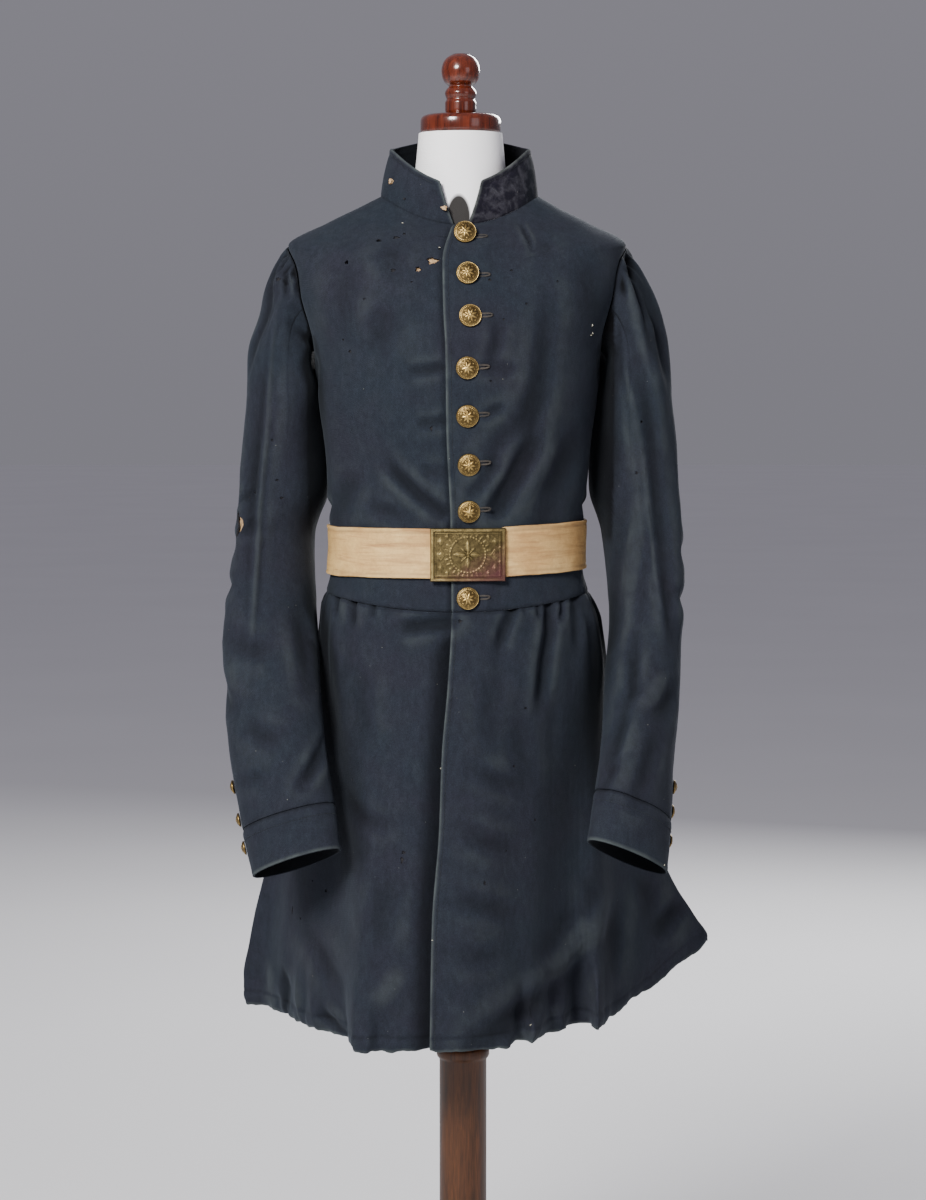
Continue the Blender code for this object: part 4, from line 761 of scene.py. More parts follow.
def face_outward(mesh):
    """Turn a closed mesh's faces outward."""
    turned = bmesh.new()
    turned.from_mesh(mesh)
    bmesh.ops.recalc_face_normals(turned, faces=turned.faces)
    turned.to_mesh(mesh)
    turned.free()


def add_mesh(name, points, faces, material, sharp=50):
    """A piece from points in millimetres."""
    mesh = bpy.data.meshes.new(name)
    mesh.from_pydata((np.asarray(points, float) * MM).tolist(), [], faces)
    mesh.validate()
    face_outward(mesh)
    mesh.shade_smooth()
    mesh.set_sharp_from_angle(angle=math.radians(sharp))
    mesh.materials.append(material)
    made = linked(name, mesh)
    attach(made, "root")
    return made


def set_surface_tone(made, values):
    """Store how dark or rubbed each point of a piece is; on cloth the dark is mostly painted shade."""
    stored = made.data.attributes.new("wear", "FLOAT", "POINT").data
    stored.foreach_set("value", values.astype(np.float32))


def grid_faces(rows, columns, first=0, closed=False, flip=False):
    """Quads of a grid of points."""
    r, c = np.meshgrid(np.arange(rows - 1), np.arange(columns if closed else columns - 1), indexing="ij")
    d = (c + 1) % columns
    quads = np.stack([r * columns + c, r * columns + d, (r + 1) * columns + d, (r + 1) * columns + c], -1)
    quads = quads.reshape(-1, 4) + first
    return (quads[:, ::-1] if flip else quads).tolist()


def shell(name, outer, inner, material, closed=False, soft=(), wear=None, rim=RIM_WEAR):
    """A thin closed shell between two grids of points. soft names the edges that are rounded, and
    wear is -1 for painted shade in a dark trough up to 1 for a rubbed place."""
    rows, columns = outer.shape[:2]
    points = [outer.reshape(-1, 3), inner.reshape(-1, 3)]
    inside = rows * columns
    faces = grid_faces(rows, columns, 0, closed) + grid_faces(rows, columns, inside, closed, True)
    count = 2 * inside
    index = np.arange(inside).reshape(rows, columns)
    middle = (outer + inner) / 2
    edges = {"low": (index[0], middle[0], middle[1]), "high": (index[-1], middle[-1], middle[-2])}
    if not closed:
        edges["first"] = (index[:, 0], middle[:, 0], middle[:, 1])
        edges["last"] = (index[:, -1], middle[:, -1], middle[:, -2])
    for word, (line, at, next_in) in edges.items():
        along_closed = closed and word in ("low", "high")
        spans = len(line) if along_closed else len(line) - 1
        if word in soft:
            away = at - next_in
            away = away / np.maximum(np.linalg.norm(away, axis=-1, keepdims=True), 1e-9)
            points.append(at + away * 0.7)
            mid = np.arange(count, count + len(line))
            if not along_closed:
                points[-1][0], points[-1][-1] = at[0], at[-1]
            count += len(line)
            for i in range(spans):
                j = (i + 1) % len(line)
                faces.append([line[i], line[j], mid[j], mid[i]])
                faces.append([mid[i], mid[j], line[j] + inside, line[i] + inside])
            if not along_closed:
                faces.append([line[0], mid[0], line[0] + inside])
                faces.append([line[-1] + inside, mid[-1], line[-1]])
        else:
            for i in range(spans):
                j = (i + 1) % len(line)
                faces.append([line[i], line[j], line[j] + inside, line[i] + inside])
    faces = [[int(i) for i in face] for face in faces]
    made = add_mesh(name, np.concatenate(points), faces, material)
    if wear is not None:
        values = np.full(count, rim)
        values[:inside] = wear.ravel()
        values[inside:2 * inside] = INNER_SHADE
        set_surface_tone(made, values)
    return made


class Finish:
    """A procedural material, written as short calls. Sizes are in millimetres."""

    def __init__(self, name, **uniform):
        self.material = bpy.data.materials.new(name)
        self.material.use_nodes = True
        self.tree = self.material.node_tree
        self.shader = self.tree.nodes["Principled BSDF"]
        for socket, value in uniform.items():
            self.shader.inputs[socket.replace("_", " ")].default_value = value
        self.place = self.node("ShaderNodeTexCoord").outputs["Object"]

    def node(self, kind, **settings):
        made = self.tree.nodes.new(kind)
        for word, value in settings.items():
            setattr(made, word, value)
        return made

    def put(self, socket, value):
        if isinstance(value, bpy.types.NodeSocket):
            self.tree.links.new(value, socket)
        elif isinstance(value, tuple) and len(value) == 3 and socket.type == "RGBA":
            socket.default_value = (*value, 1)
        else:
            socket.default_value = value

    def stretched(self, stretch):
        made = self.node("ShaderNodeMapping")
        self.put(made.inputs["Vector"], self.place)
        made.inputs["Scale"].default_value = stretch
        return made.outputs["Vector"]

    def noise(self, size, detail=3.0, rough=0.55, twist=0.0, stretch=None):
        made = self.node("ShaderNodeTexNoise")
        self.put(made.inputs["Vector"], self.stretched(stretch) if stretch else self.place)
        for socket, value in (("Scale", 1 / (size * MM)), ("Detail", detail), ("Roughness", rough),
                              ("Distortion", twist)):
            made.inputs[socket].default_value = value
        return made.outputs["Fac"]

    def cells(self, size):
        made = self.node("ShaderNodeTexVoronoi", feature="F1")
        self.put(made.inputs["Vector"], self.place)
        made.inputs["Scale"].default_value = 1 / (size * MM)
        return made.outputs["Distance"]

    def bands(self, size, stretch, twist=0.0, detail=2.0):
        made = self.node("ShaderNodeTexWave", wave_type="BANDS", bands_direction="DIAGONAL")
        self.put(made.inputs["Vector"], self.stretched(stretch))
        for socket, value in (("Scale", 0.31 / (size * MM)), ("Distortion", twist), ("Detail", detail),
                              ("Detail Scale", 1.4)):
            made.inputs[socket].default_value = value
        return made.outputs["Fac"]

    def ramp(self, value, *stops):
        """A value or colour for each place along a range."""
        made = self.node("ShaderNodeValToRGB")
        self.put(made.inputs["Fac"], value)
        elements = made.color_ramp.elements
        while len(elements) < len(stops):
            elements.new(0.5)
        for element, (place, colour) in zip(elements, stops):
            element.position = place
            element.color = (*colour, 1) if isinstance(colour, tuple) else (colour, colour, colour, 1)
        return made.outputs["Color"]

    def math(self, operation, a, b=0.0, clamp=False):
        made = self.node("ShaderNodeMath", operation=operation, use_clamp=clamp)
        self.put(made.inputs[0], a)
        self.put(made.inputs[1], b)
        return made.outputs[0]

    def mix(self, share, a, b, blend="MIX"):
        made = self.node("ShaderNodeMix", data_type="RGBA", blend_type=blend)
        colours = [socket for socket in made.inputs if socket.type == "RGBA"]
        self.put(made.inputs[0], share)
        self.put(colours[0], a)
        self.put(colours[1], b)
        return [socket for socket in made.outputs if socket.type == "RGBA"][0]

    def bump(self, height, depth, before=None, strength=1.0):
        """Relief of so many millimetres."""
        made = self.node("ShaderNodeBump")
        self.put(made.inputs["Height"], height)
        made.inputs["Distance"].default_value = depth * MM
        made.inputs["Strength"].default_value = strength
        if before is not None:
            self.put(made.inputs["Normal"], before)
        return made.outputs["Normal"]

    def attribute(self, name):
        return self.node("ShaderNodeAttribute", attribute_name=name).outputs["Fac"]

    def done(self, colour=None, roughness=None, normal=None, metallic=None):
        for socket, value in (("Base Color", colour), ("Roughness", roughness), ("Normal", normal),
                              ("Metallic", metallic)):
            if value is not None:
                self.put(self.shader.inputs[socket], value)
        return self.material


def wool(name, slate, plum, dusty, worn, patches, spread=22.0):
    """Worn wool broadcloth: a napped twill with faded and rubbed places and lint, and painted shade where its
    tone is below zero.
    """
    f = Finish(name, Sheen_Weight=0.05, Sheen_Roughness=0.5, Specular_IOR_Level=0.12)
    f.shader.inputs["Sheen Tint"].default_value = (0.55, 0.66, 0.80, 1)
    cloudy = f.noise(95, 4, 0.6, 0.3)
    blotches = f.noise(spread, 4, 0.62, 0.4)
    nap = f.noise(5.5, 3, 0.6, 0.2, (1, 1, 0.5))
    fibre = f.noise(1.1, 2, 0.7)
    colour = f.mix(f.ramp(cloudy, (0.36, 0.0), (0.64, 1.0)), slate, plum)
    colour = f.mix(f.math("MULTIPLY", f.ramp(blotches, (0.46, 0.0), (0.70, 1.0)), patches), colour, dusty)
    colour = f.mix(0.40, colour, f.ramp(nap, (0.30, 0.60), (0.72, 1.40)), "MULTIPLY")
    colour = f.mix(0.62, colour, f.ramp(fibre, (0.25, 0.40), (0.78, 1.68)), "MULTIPLY")
    wear = f.attribute("wear")
    rub = f.math("MULTIPLY", f.math("MAXIMUM", wear, 0.0), f.ramp(blotches, (0.3, 0.35), (0.6, 1.0)))
    colour = f.mix(rub, colour, worn)
    # Painted shade: below zero the tone attribute mixes the cloth toward near black, in troughs, under the
    # arms, near other pieces and on the inner side; seams darken the same way.
    dark = f.math("MULTIPLY", f.math("MAXIMUM", f.math("MULTIPLY", wear, -1.0), 0.0), 0.92)
    colour = f.mix(dark, colour, (0.0008, 0.0008, 0.0013))
    lint = f.cells(9)
    specks = f.ramp(lint, (0.030, 1.0), (0.055, 0.0))
    chosen = f.ramp(f.noise(6.0, 1, 0.5), (0.60, 0.0), (0.66, 1.0))
    colour = f.mix(f.math("MULTIPLY", specks, chosen), colour, (0.20, 0.20, 0.17))
    twill = f.bands(0.95, (1, 0.6, 1), 1.2)
    normal = f.bump(twill, 0.12, strength=0.5)
    normal = f.bump(fibre, 0.16, normal, 0.8)
    normal = f.bump(nap, 0.45, normal, 0.5)
    roughness = f.ramp(blotches, (0.3, 0.86), (0.7, 0.98))
    return f.done(colour, roughness, normal)


def torn_wool():
    """The dark fuzzy edges of moth holes."""
    f = Finish("torn_wool", Specular_IOR_Level=0.1)
    fibre = f.noise(0.9, 2, 0.7)
    return f.done(f.ramp(fibre, (0.3, (0.005, 0.005, 0.008)), (0.75, (0.035, 0.034, 0.036))), 0.97,
                  f.bump(fibre, 0.4))


def thread(name, dark, light):
    f = Finish(name, Specular_IOR_Level=0.25)
    strands = f.noise(0.8, 2, 0.6)
    faded = f.noise(24, 3, 0.6)
    colour = f.mix(f.ramp(faded, (0.35, 0.0), (0.7, 1.0)), dark, light)
    colour = f.mix(0.5, colour, f.ramp(strands, (0.3, 0.5), (0.7, 1.4)), "MULTIPLY")
    return f.done(colour, 0.8, f.bump(strands, 0.15))


def cotton_lining():
    """Tan twilled lining, soiled and frayed."""
    f = Finish("tan_lining", Specular_IOR_Level=0.2)
    weave = f.bands(0.7, (1, 0.5, 1), 0.8)
    soil = f.noise(4.5, 4, 0.65, 0.4)
    threads = f.noise(0.8, 2, 0.6, 0, (1, 1, 0.25))
    colour = f.ramp(soil, (0.30, (0.20, 0.12, 0.065)), (0.50, (0.40, 0.26, 0.14)),
                    (0.72, (0.56, 0.41, 0.25)))
    colour = f.mix(0.6, colour, f.ramp(threads, (0.3, 0.55), (0.7, 1.3)), "MULTIPLY")
    normal = f.bump(threads, 0.2, f.bump(weave, 0.15))
    return f.done(colour, 0.85, normal)


def buff_leather():
    """Buff belt leather with brown streaks, rubbed edges and fine grain."""
    f = Finish("buff_leather", Specular_IOR_Level=0.35)
    streaks = f.noise(26, 4, 0.62, 0.6, (0.35, 0.35, 4.0))
    fine_streaks = f.noise(9, 3, 0.6, 0.3, (0.25, 0.25, 3.0))
    clouds = f.noise(40, 4, 0.6, 0.5)
    spots = f.noise(3.2, 3, 0.65)
    grain = f.noise(0.7, 3, 0.7)
    colour = f.ramp(clouds, (0.30, (0.46, 0.27, 0.10)), (0.52, (0.58, 0.37, 0.145)),
                    (0.74, (0.66, 0.45, 0.190)))
    colour = f.mix(f.math("MULTIPLY", f.ramp(streaks, (0.50, 0.0), (0.72, 1.0)), 0.8), colour,
                   (0.30, 0.15, 0.055))
    colour = f.mix(f.math("MULTIPLY", f.ramp(fine_streaks, (0.54, 0.0), (0.70, 1.0)), 0.65), colour,
                   (0.38, 0.20, 0.075))
    colour = f.mix(0.35, colour, f.ramp(spots, (0.3, 0.7), (0.7, 1.15)), "MULTIPLY")
    colour = f.mix(0.25, colour, f.ramp(grain, (0.3, 0.6), (0.7, 1.2)), "MULTIPLY")
    # Towards the right of the belt the leather darkens to a mottled brown: soil mottles together with painted
    # shade of its right side.
    parts = f.node("ShaderNodeSeparateXYZ")
    f.put(parts.inputs[0], f.place)
    soil_and_shade = f.math("ADD", f.math("MULTIPLY", f.math("SUBTRACT", parts.outputs["X"], 40 * MM), 9.0),
                     f.math("MULTIPLY", f.math("SUBTRACT", f.noise(7, 4, 0.7, 0.4), 0.5), 1.6))
    colour = f.mix(f.math("MULTIPLY", f.math("MULTIPLY", soil_and_shade, 1.0, True), 0.55), colour,
                   (0.30, 0.165, 0.065))
    wear = f.attribute("wear")
    colour = f.mix(f.math("MULTIPLY", f.math("MAXIMUM", f.math("MULTIPLY", wear, -1.0), 0.0), 0.8), colour,
                   (0.20, 0.12, 0.055))
    normal = f.bump(grain, 0.12, f.bump(fine_streaks, 0.35, strength=0.5), 0.7)
    roughness = f.ramp(clouds, (0.3, 0.55), (0.7, 0.74))
    return f.done(colour, roughness, normal)


def metal(name, low, high, tarnish, amount, roughness, recess):
    """Stamped or cast brass with tarnish in patches."""
    f = Finish(name, Metallic=1.0)
    low_place = f.math("MULTIPLY", f.math("SUBTRACT", 1.0, f.attribute("wear"), True), recess)
    clouds = f.noise(7, 4, 0.65, 0.6)
    fine = f.noise(0.8, 3, 0.7)
    colour = f.mix(f.ramp(clouds, (0.35, 0.0), (0.65, 1.0)), low, high)
    dull = f.noise(3.4, 4, 0.7, 0.8)
    share = f.math("MULTIPLY", f.ramp(dull, (0.48, 0.0), (0.70, 1.0)), amount)
    colour = f.mix(share, colour, tarnish)
    colour = f.mix(low_place, colour, tuple(0.55 * part for part in tarnish))
    rough = f.ramp(dull, (0.3, roughness), (0.75, min(roughness + 0.3, 0.9)))
    normal = f.bump(fine, 0.05, strength=0.6)
    return f, colour, rough, normal


def old_brass():
    """The cast plate: olive gold, with reddish purple tarnish low on its right."""
    f, colour, rough, normal = metal("cast_brass", (0.14, 0.104, 0.042), (0.32, 0.245, 0.105),
                                     (0.050, 0.036, 0.018), 0.75, 0.42, 0.62)
    parts = f.node("ShaderNodeSeparateXYZ")
    f.put(parts.inputs[0], f.place)
    right = f.math("SUBTRACT", parts.outputs["X"], (PLATE_X + 6) * MM)
    low = f.math("SUBTRACT", (PLATE_Z - 2) * MM, parts.outputs["Z"])
    reach = f.math("ADD", f.math("MULTIPLY", right, 18.0), f.math("MULTIPLY", low, 34.0))
    patchy = f.math("ADD", reach, f.math("SUBTRACT", f.noise(9, 4, 0.7, 0.6), 0.5))
    colour = f.mix(f.math("MULTIPLY", f.math("MULTIPLY", patchy, 1.0, True), 0.7), colour,
                   (0.13, 0.045, 0.055))
    return f.done(colour, rough, normal)


def brass():
    f, colour, rough, normal = metal("gilt_brass", (0.30, 0.195, 0.065), (0.52, 0.37, 0.14),
                                     (0.085, 0.052, 0.022), 0.6, 0.30, 0.85)
    return f.done(colour, rough, normal)


# Painted shade in an oval at the throat, under the collar: its middle right of the centre and height, half
# width and half height
THROAT_SHADE = (-4.5, 1346.0, 13.0, 26.0)


def white_cotton():
    """The form's tight white jersey cover."""
    f = Finish("white_jersey", Sheen_Weight=0.15, Specular_IOR_Level=0.25)
    knit = f.bands(1.1, (1, 0.7, 1), 0.8)
    rows = f.noise(0.9, 2, 0.6)
    clouds = f.noise(60, 3, 0.5)
    colour = f.ramp(clouds, (0.3, (0.86, 0.845, 0.86)), (0.7, (0.90, 0.89, 0.90)))
    parts = f.node("ShaderNodeSeparateXYZ")
    f.put(parts.inputs[0], f.place)
    x, z, half_wide, half_tall = THROAT_SHADE
    across = f.math("DIVIDE", f.math("SUBTRACT", parts.outputs["X"], x * MM), half_wide * MM)
    along = f.math("DIVIDE", f.math("SUBTRACT", parts.outputs["Z"], z * MM), half_tall * MM)
    far = f.math("ADD", f.math("MULTIPLY", across, across), f.math("MULTIPLY", along, along))
    # Painted shade at the throat: the cover turns near black inside the oval.
    colour = f.mix(f.ramp(far, (0.70, 1.0), (1.05, 0.0)), colour, (0.023, 0.021, 0.020))
    return f.done(colour, 0.88, f.bump(rows, 0.10, f.bump(knit, 0.14)))


def polished_wood(name, dark, light, roughness, coat):
    """Turned wood with its grain along the axis."""
    f = Finish(name, Coat_Weight=coat, Coat_Roughness=0.12, Specular_IOR_Level=0.3)
    grain = f.noise(7, 5, 0.6, 0.8, (1, 1, 0.10))
    pores = f.noise(1.4, 2, 0.6, 0, (1, 1, 0.06))
    colour = f.mix(f.ramp(grain, (0.32, 0.0), (0.68, 1.0)), dark, light)
    colour = f.mix(0.5, colour, f.ramp(pores, (0.35, 0.45), (0.6, 1.2)), "MULTIPLY")
    return f.done(colour, f.ramp(grain, (0.3, roughness), (0.7, roughness + 0.12)), f.bump(pores, 0.06))


WOOL = wool("slate_wool", (0.0118, 0.0155, 0.0225), (0.0132, 0.0142, 0.0215), (0.0200, 0.0240, 0.0300),
            (0.060, 0.071, 0.070), 0.34)
COLLAR_WOOL = wool("plum_wool", (0.0036, 0.0038, 0.0072), (0.0080, 0.0066, 0.0125), (0.0390, 0.0375, 0.0460),
                   (0.085, 0.094, 0.088), 1.0, 12.0)
TORN_WOOL = torn_wool()
THREAD = thread("wool_thread", (0.010, 0.012, 0.015), (0.022, 0.026, 0.028))
HOLE_THREAD = thread("buttonhole_thread", (0.024, 0.022, 0.021), (0.075, 0.062, 0.050))
PALE_THREAD = thread("pale_thread", (0.35, 0.33, 0.25), (0.62, 0.60, 0.50))
LINING = cotton_lining()
BUFF = buff_leather()
BRASS = brass()
OLD_BRASS = old_brass()
COTTON = white_cotton()
MAHOGANY = polished_wood("turned_mahogany", (0.032, 0.0045, 0.0020), (0.110, 0.018, 0.006), 0.16, 0.6)
BROWN_WOOD = polished_wood("turned_brown_wood", (0.030, 0.0105, 0.0034), (0.082, 0.029, 0.0090), 0.42, 0.08)


FINE = 3.0  # size of a cloth mesh's cells
FOLD_DEPTH = 1.7  # how much deeper the coat's folds are than their tables say


def fine_levels(levels, surface_angle, size=FINE):
    """Levels between the first and last, evenly spaced along the body."""
    dense = np.linspace(levels[0], levels[-1], 800)
    line = body(np.full(dense.shape, float(surface_angle)), dense)
    run = np.concatenate([[0], np.cumsum(np.linalg.norm(np.diff(line, axis=0), axis=1))])
    count = max(2, int(run[-1] / size))
    return np.interp(np.linspace(0, run[-1], count + 1), run, dense)


def form_inset(angle, level):
    """How far the form's cover lies inside the coat's outer face."""
    side = np.sin(np.radians(angle)) ** 2
    inset = INSET["ends"](level) * (1 - side) + INSET["sides"](level) * side
    return inset + 0.4 + 1.6 * (1 - ease((level - 10.4) / 1.2))


def body_piece(name, side, angle, level, lift=0.0, seams=(1, 1, 1, 1), soft=(), dip=0.0):
    """A panel of the body. seams says how far its first, last, low and high edges sink into a seam."""
    angle, level = np.broadcast_arrays(angle * side, level)
    out = facing(body, angle, level)
    base = body(angle, level)
    fold = FOLD_DEPTH * seen_from(base, out, BODY_FRONT_FOLDS, BODY_BACK_FOLDS, SIDE_FOLDS, SIDE_FOLDS) + dip
    shift = fold + 0.55 * noise(base, 46, 3) + 0.22 * noise(base, 17, 4) + 0.07 * noise(base, 7, 5)
    for share, distance in zip(seams, edge_distances(base)):
        shift = shift + share * rolled(distance)
        shift = shift + share * 0.45 * noise(base, 9, 6) * np.exp(-(distance / 12) ** 2)
    room = form_inset(angle, level) - WALL - 0.9
    shift = np.where(shift < 0, -room * np.tanh(-shift / room), shift)
    outer = base + out * (shift + lift)[..., None]
    distances = edge_distances(base)
    wear = tone(fold, list(zip(seams, distances)), [distances[0]] if "first" in soft else [])
    return shell(name, outer, outer - out * WALL, WOOL, soft=soft, wear=wear), outer, out


def panel_columns(first, last, size=FINE):
    """Evenly spaced angles between two edges, enough for the widest row."""
    widest = np.abs(np.asarray(last) - np.asarray(first)).max() * 2.45
    return span(first, last, max(4, int(widest / size)))


def fronts():
    level = np.concatenate([fine_levels(np.array([0, 6.95]), 40), fine_levels(np.array([6.95, 10]), 75)[1:],
                            fine_levels(np.array([10, 13]), 90)[1:]])
    outer_edge = seam_angles(SIDE_LINE, level, -1)
    height = BODY["z_front"](level)
    left_edge = np.where(level <= UNDERLAP_TOP, UNDERLAP, LAP_LINE(height) - FRONTS_GAP)
    angle = panel_columns(-body_angle(left_edge, level), outer_edge)
    points = body(-angle, level[:, None])
    beside = LAP_LINE(points[..., 2]) - points[..., 0]
    groove = -2.4 * ease(1 - beside / 6.5) * ease((12.9 - level) / 0.6)[:, None]
    left, _, _ = body_piece("front_left_cloth", -1, angle, level[:, None], seams=(0, 0.5, 1, 0.2), dip=groove)
    cut_table(left, CHEST_HOLES, THROUGH)
    cut_table(left, FRONT_LEFT_PITS)
    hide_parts("front_left")
    angle = panel_columns(body_angle(LAP_LINE(height), level), outer_edge)
    level_grid = np.broadcast_to(level[:, None], angle.shape)
    points = body(angle, level_grid)
    lift = lap(points[..., 0], level_grid)
    edge = edge_distances(points)[0]
    bead = 0.8 * np.exp(-((edge - 1.8) / 1.6) ** 2) - 0.5 * np.exp(-((edge - 5.2) / 1.2) ** 2)
    bead = bead * (lift > 0.2)
    right, outer, out = body_piece("front_right_cloth", 1, angle, level[:, None], lift + bead,
                                   seams=(0, 0.5, 1, 0.2), soft=("first",))
    cut_table(right, FRONT_RIGHT_PITS)
    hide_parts("front_right")
    rows = (level > 0.15) & (level < 12.8)
    stitches("lap_stitching", stitch_line(outer, out, edge, 5.2, rows), 2.6)


def side_bodies():
    rows = fine_levels(np.array([0, 6.95]), 100) / 6.95
    columns = 24
    share = np.linspace(0, 1, columns + 1)
    top = FRONT_ARMHOLE[0] + (BACK_ARMHOLE[-1] - FRONT_ARMHOLE[0]) * share ** UNDERARM_TURN
    level = rows[:, None] * top
    front = SIDE_LINE(np.minimum(level, SIDE_LEVELS[-1]))
    back = BACK_LINE(level)
    front = front + seam_shift(body, front, level)
    back = back - seam_shift(body, back, level)
    across = 1 - (1 - share) ** UNDERARM_BACK
    angle = front * (1 - across) + back * across
    for side, word in ((-1, "left"), (1, "right")):
        made, _, _ = body_piece(f"side_body_{word}_cloth", side, angle, level, seams=(0.6, 0.6, 1, 0.5))
        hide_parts(f"side_body_{word}")


def backs():
    level = np.concatenate([fine_levels(np.array([0, 8.2]), 150), fine_levels(np.array([8.2, 10]), 112)[1:],
                            fine_levels(np.array([10, 13]), 110)[1:]])
    middle = 180 - seam_shift(body, 180.0, level)
    angle = panel_columns(seam_angles(BACK_LINE, level, 1), middle)
    for side, word in ((-1, "left"), (1, "right")):
        made, _, _ = body_piece(f"back_{word}_cloth", side, angle, level[:, None], seams=(0.6, 0.6, 1, 0.2))
        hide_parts(f"back_{word}")


def collars():
    height = np.linspace(-0.016, 1, 19)
    for side, word in ((-1, "left"), (1, "right")):
        foot, top = COLLAR_ENDS[side]
        foot_angle = np.degrees(np.arcsin((foot - BODY_ROWS[-1][1]) / BODY_ROWS[-1][2]))
        top_angle = np.degrees(np.arcsin((top - COLLAR_CENTRE) / COLLAR_HALF_WIDTH))
        end = foot_angle + (top_angle - foot_angle) * height
        middle = side * (180 - seam_shift(collar, 180.0, height))
        angle = span(end, middle, 72)
        out = facing(collar, angle, height[:, None])
        base = collar(angle, height[:, None])
        first, last, low, high = edge_distances(base)
        rim = np.minimum(high, first)
        shift = 0.35 * noise(base, 26, 11 + side) + 0.25 * noise(base, 11, 12)
        shift = shift + 0.7 * np.exp(-((rim - 2.0) / 1.8) ** 2) - 0.55 * np.exp(-((rim - 5.4) / 1.3) ** 2)
        shift = shift + rolled(low, 0.3) + rolled(last, 0.5)
        outer = base + out * shift[..., None]
        wear = tone(0 * shift, [(1, low), (0.8, last), (0.5, np.abs(rim - 5.4))], [rim])
        made = shell(f"collar_{word}_cloth", outer, outer - out * WALL, WOOL if side < 0 else COLLAR_WOOL,
                     soft=("high", "first"), wear=wear)
        if side < 0:
            cut_table(made, COLLAR_HOLES, THROUGH, LINING)
            cut_table(made, COLLAR_NICKS, THROUGH, LINING)
            cut_table(made, COLLAR_PITS)
        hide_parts(f"collar_{word}")
        line = stitch_line(outer[::-1].swapaxes(0, 1), out[::-1].swapaxes(0, 1), high[::-1].T, 5.4,
                           np.arange(3, 72))
        stitches(f"collar_{word}_stitching", line, 2.4)


# How far a sleeve's inner side stands nearer to the body than its solid, to close the gap there
INWARD_BULGE, UNDER_BULGE = 4.0, 6.5
CORNER_BULGE, CORNER_TURN, CORNER_HALF = 5.0, 50, 24  # its front inner corner, in degrees
RIDGE_BULGE, RIDGE_Y, RIDGE_HALF = 8.2, -25, 18  # a ridge on the left sleeve only, by its place in Y
SLIM_BY, SLIM_HEIGHT, SLIM_HALF = 5.5, 1246, 26  # the left sleeve's head is slimmer on its outer side


def sleeve_detail(side, column, step, base, out):
    """The small folds of a sleeve."""
    if side == -1:
        tables = dict(front=LEFT_SLEEVE_FRONT_FOLDS, back=mirrored(SLEEVE_BACK_FOLDS),
                      left=LEFT_SLEEVE_SIDE_FOLDS)
    else:
        tables = dict(front=RIGHT_SLEEVE_FRONT_FOLDS, back=SLEEVE_BACK_FOLDS, right=RIGHT_SLEEVE_SIDE_FOLDS)
    shift = SLEEVE_FOLD_DEPTH * seen_from(base, out, **tables)
    local = np.mod(column, ARMHOLE_COLUMNS)
    for at, reach, half_width, depth in HEAD_PUCKERS[side]:
        spread = half_width * (1 + 1.6 * step / reach)
        fade = ease((step + 0.02) / 0.06) * (1 - ease((step - 0.06) / reach))
        shift = shift + 1.2 * depth * fade * np.exp(-((local - at) / spread) ** 2)
    inward = ease((-side * out[..., 0] - 0.35) / 0.35)
    fold = shift * ease(step / 0.05 + 0.15)
    shift = fold + INWARD_BULGE * inward * ease((step - 0.6) / 1.2) * ease((4.0 - step) / 0.8)
    under = ease((-0.62 * side * out[..., 0] - 0.78 * out[..., 2] - 0.10) / 0.4)
    shift = shift + UNDER_BULGE * under * ease((step - 0.2) / 0.6) * ease((2.2 - step) / 1.2)
    if side == -1:
        ridge = np.exp(-((base[..., 1] - RIDGE_Y) / RIDGE_HALF) ** 2)
        shift = shift + RIDGE_BULGE * inward * ridge * ease((step - 0.02) / 0.25) * ease((1.7 - step) / 0.9)
    turn = np.degrees(np.arctan2(-side * out[..., 0], -out[..., 1]))
    corner = np.exp(-((turn - CORNER_TURN) / CORNER_HALF) ** 2)
    shift = shift + CORNER_BULGE * corner * ease((step - 0.4) / 1.4) * ease((5.4 - step) / 1.2)
    if side == -1:
        near = np.exp(-((base[..., 2] - SLIM_HEIGHT) / SLIM_HALF) ** 2)
        shift = shift - SLIM_BY * near * ease((-out[..., 0] - 0.1) / 0.6)
    shift = shift + ease(step / 0.05) * (0.6 * noise(base, 42, 21 + side) + 0.22 * noise(base, 15, 22)
                                         + 0.06 * noise(base, 6, 23))
    return shift, fold


def mirrored(rows):
    """The same folds on the other side of the coat, a little changed."""
    return tuple((tuple((-x + 12 + 4 * math.sin(3 * i), z - 9 + 5 * math.cos(2 * i)) for x, z in path),
                  half_width * 1.1, depth * 0.9, start, end)
                 for i, (path, half_width, depth, start, end) in enumerate(rows))


SLEEVE_FOLD_DEPTH = 1.7
# Painted shade under the arm: where the front of a sleeve turns under, right of the middle, and the heights
UNDERARM_SHADE_EDGE = {-1: -161.0, 1: 156.0}
UNDERARM_SHADE_TOP, UNDERARM_SHADE_LOW = 1262, 1004


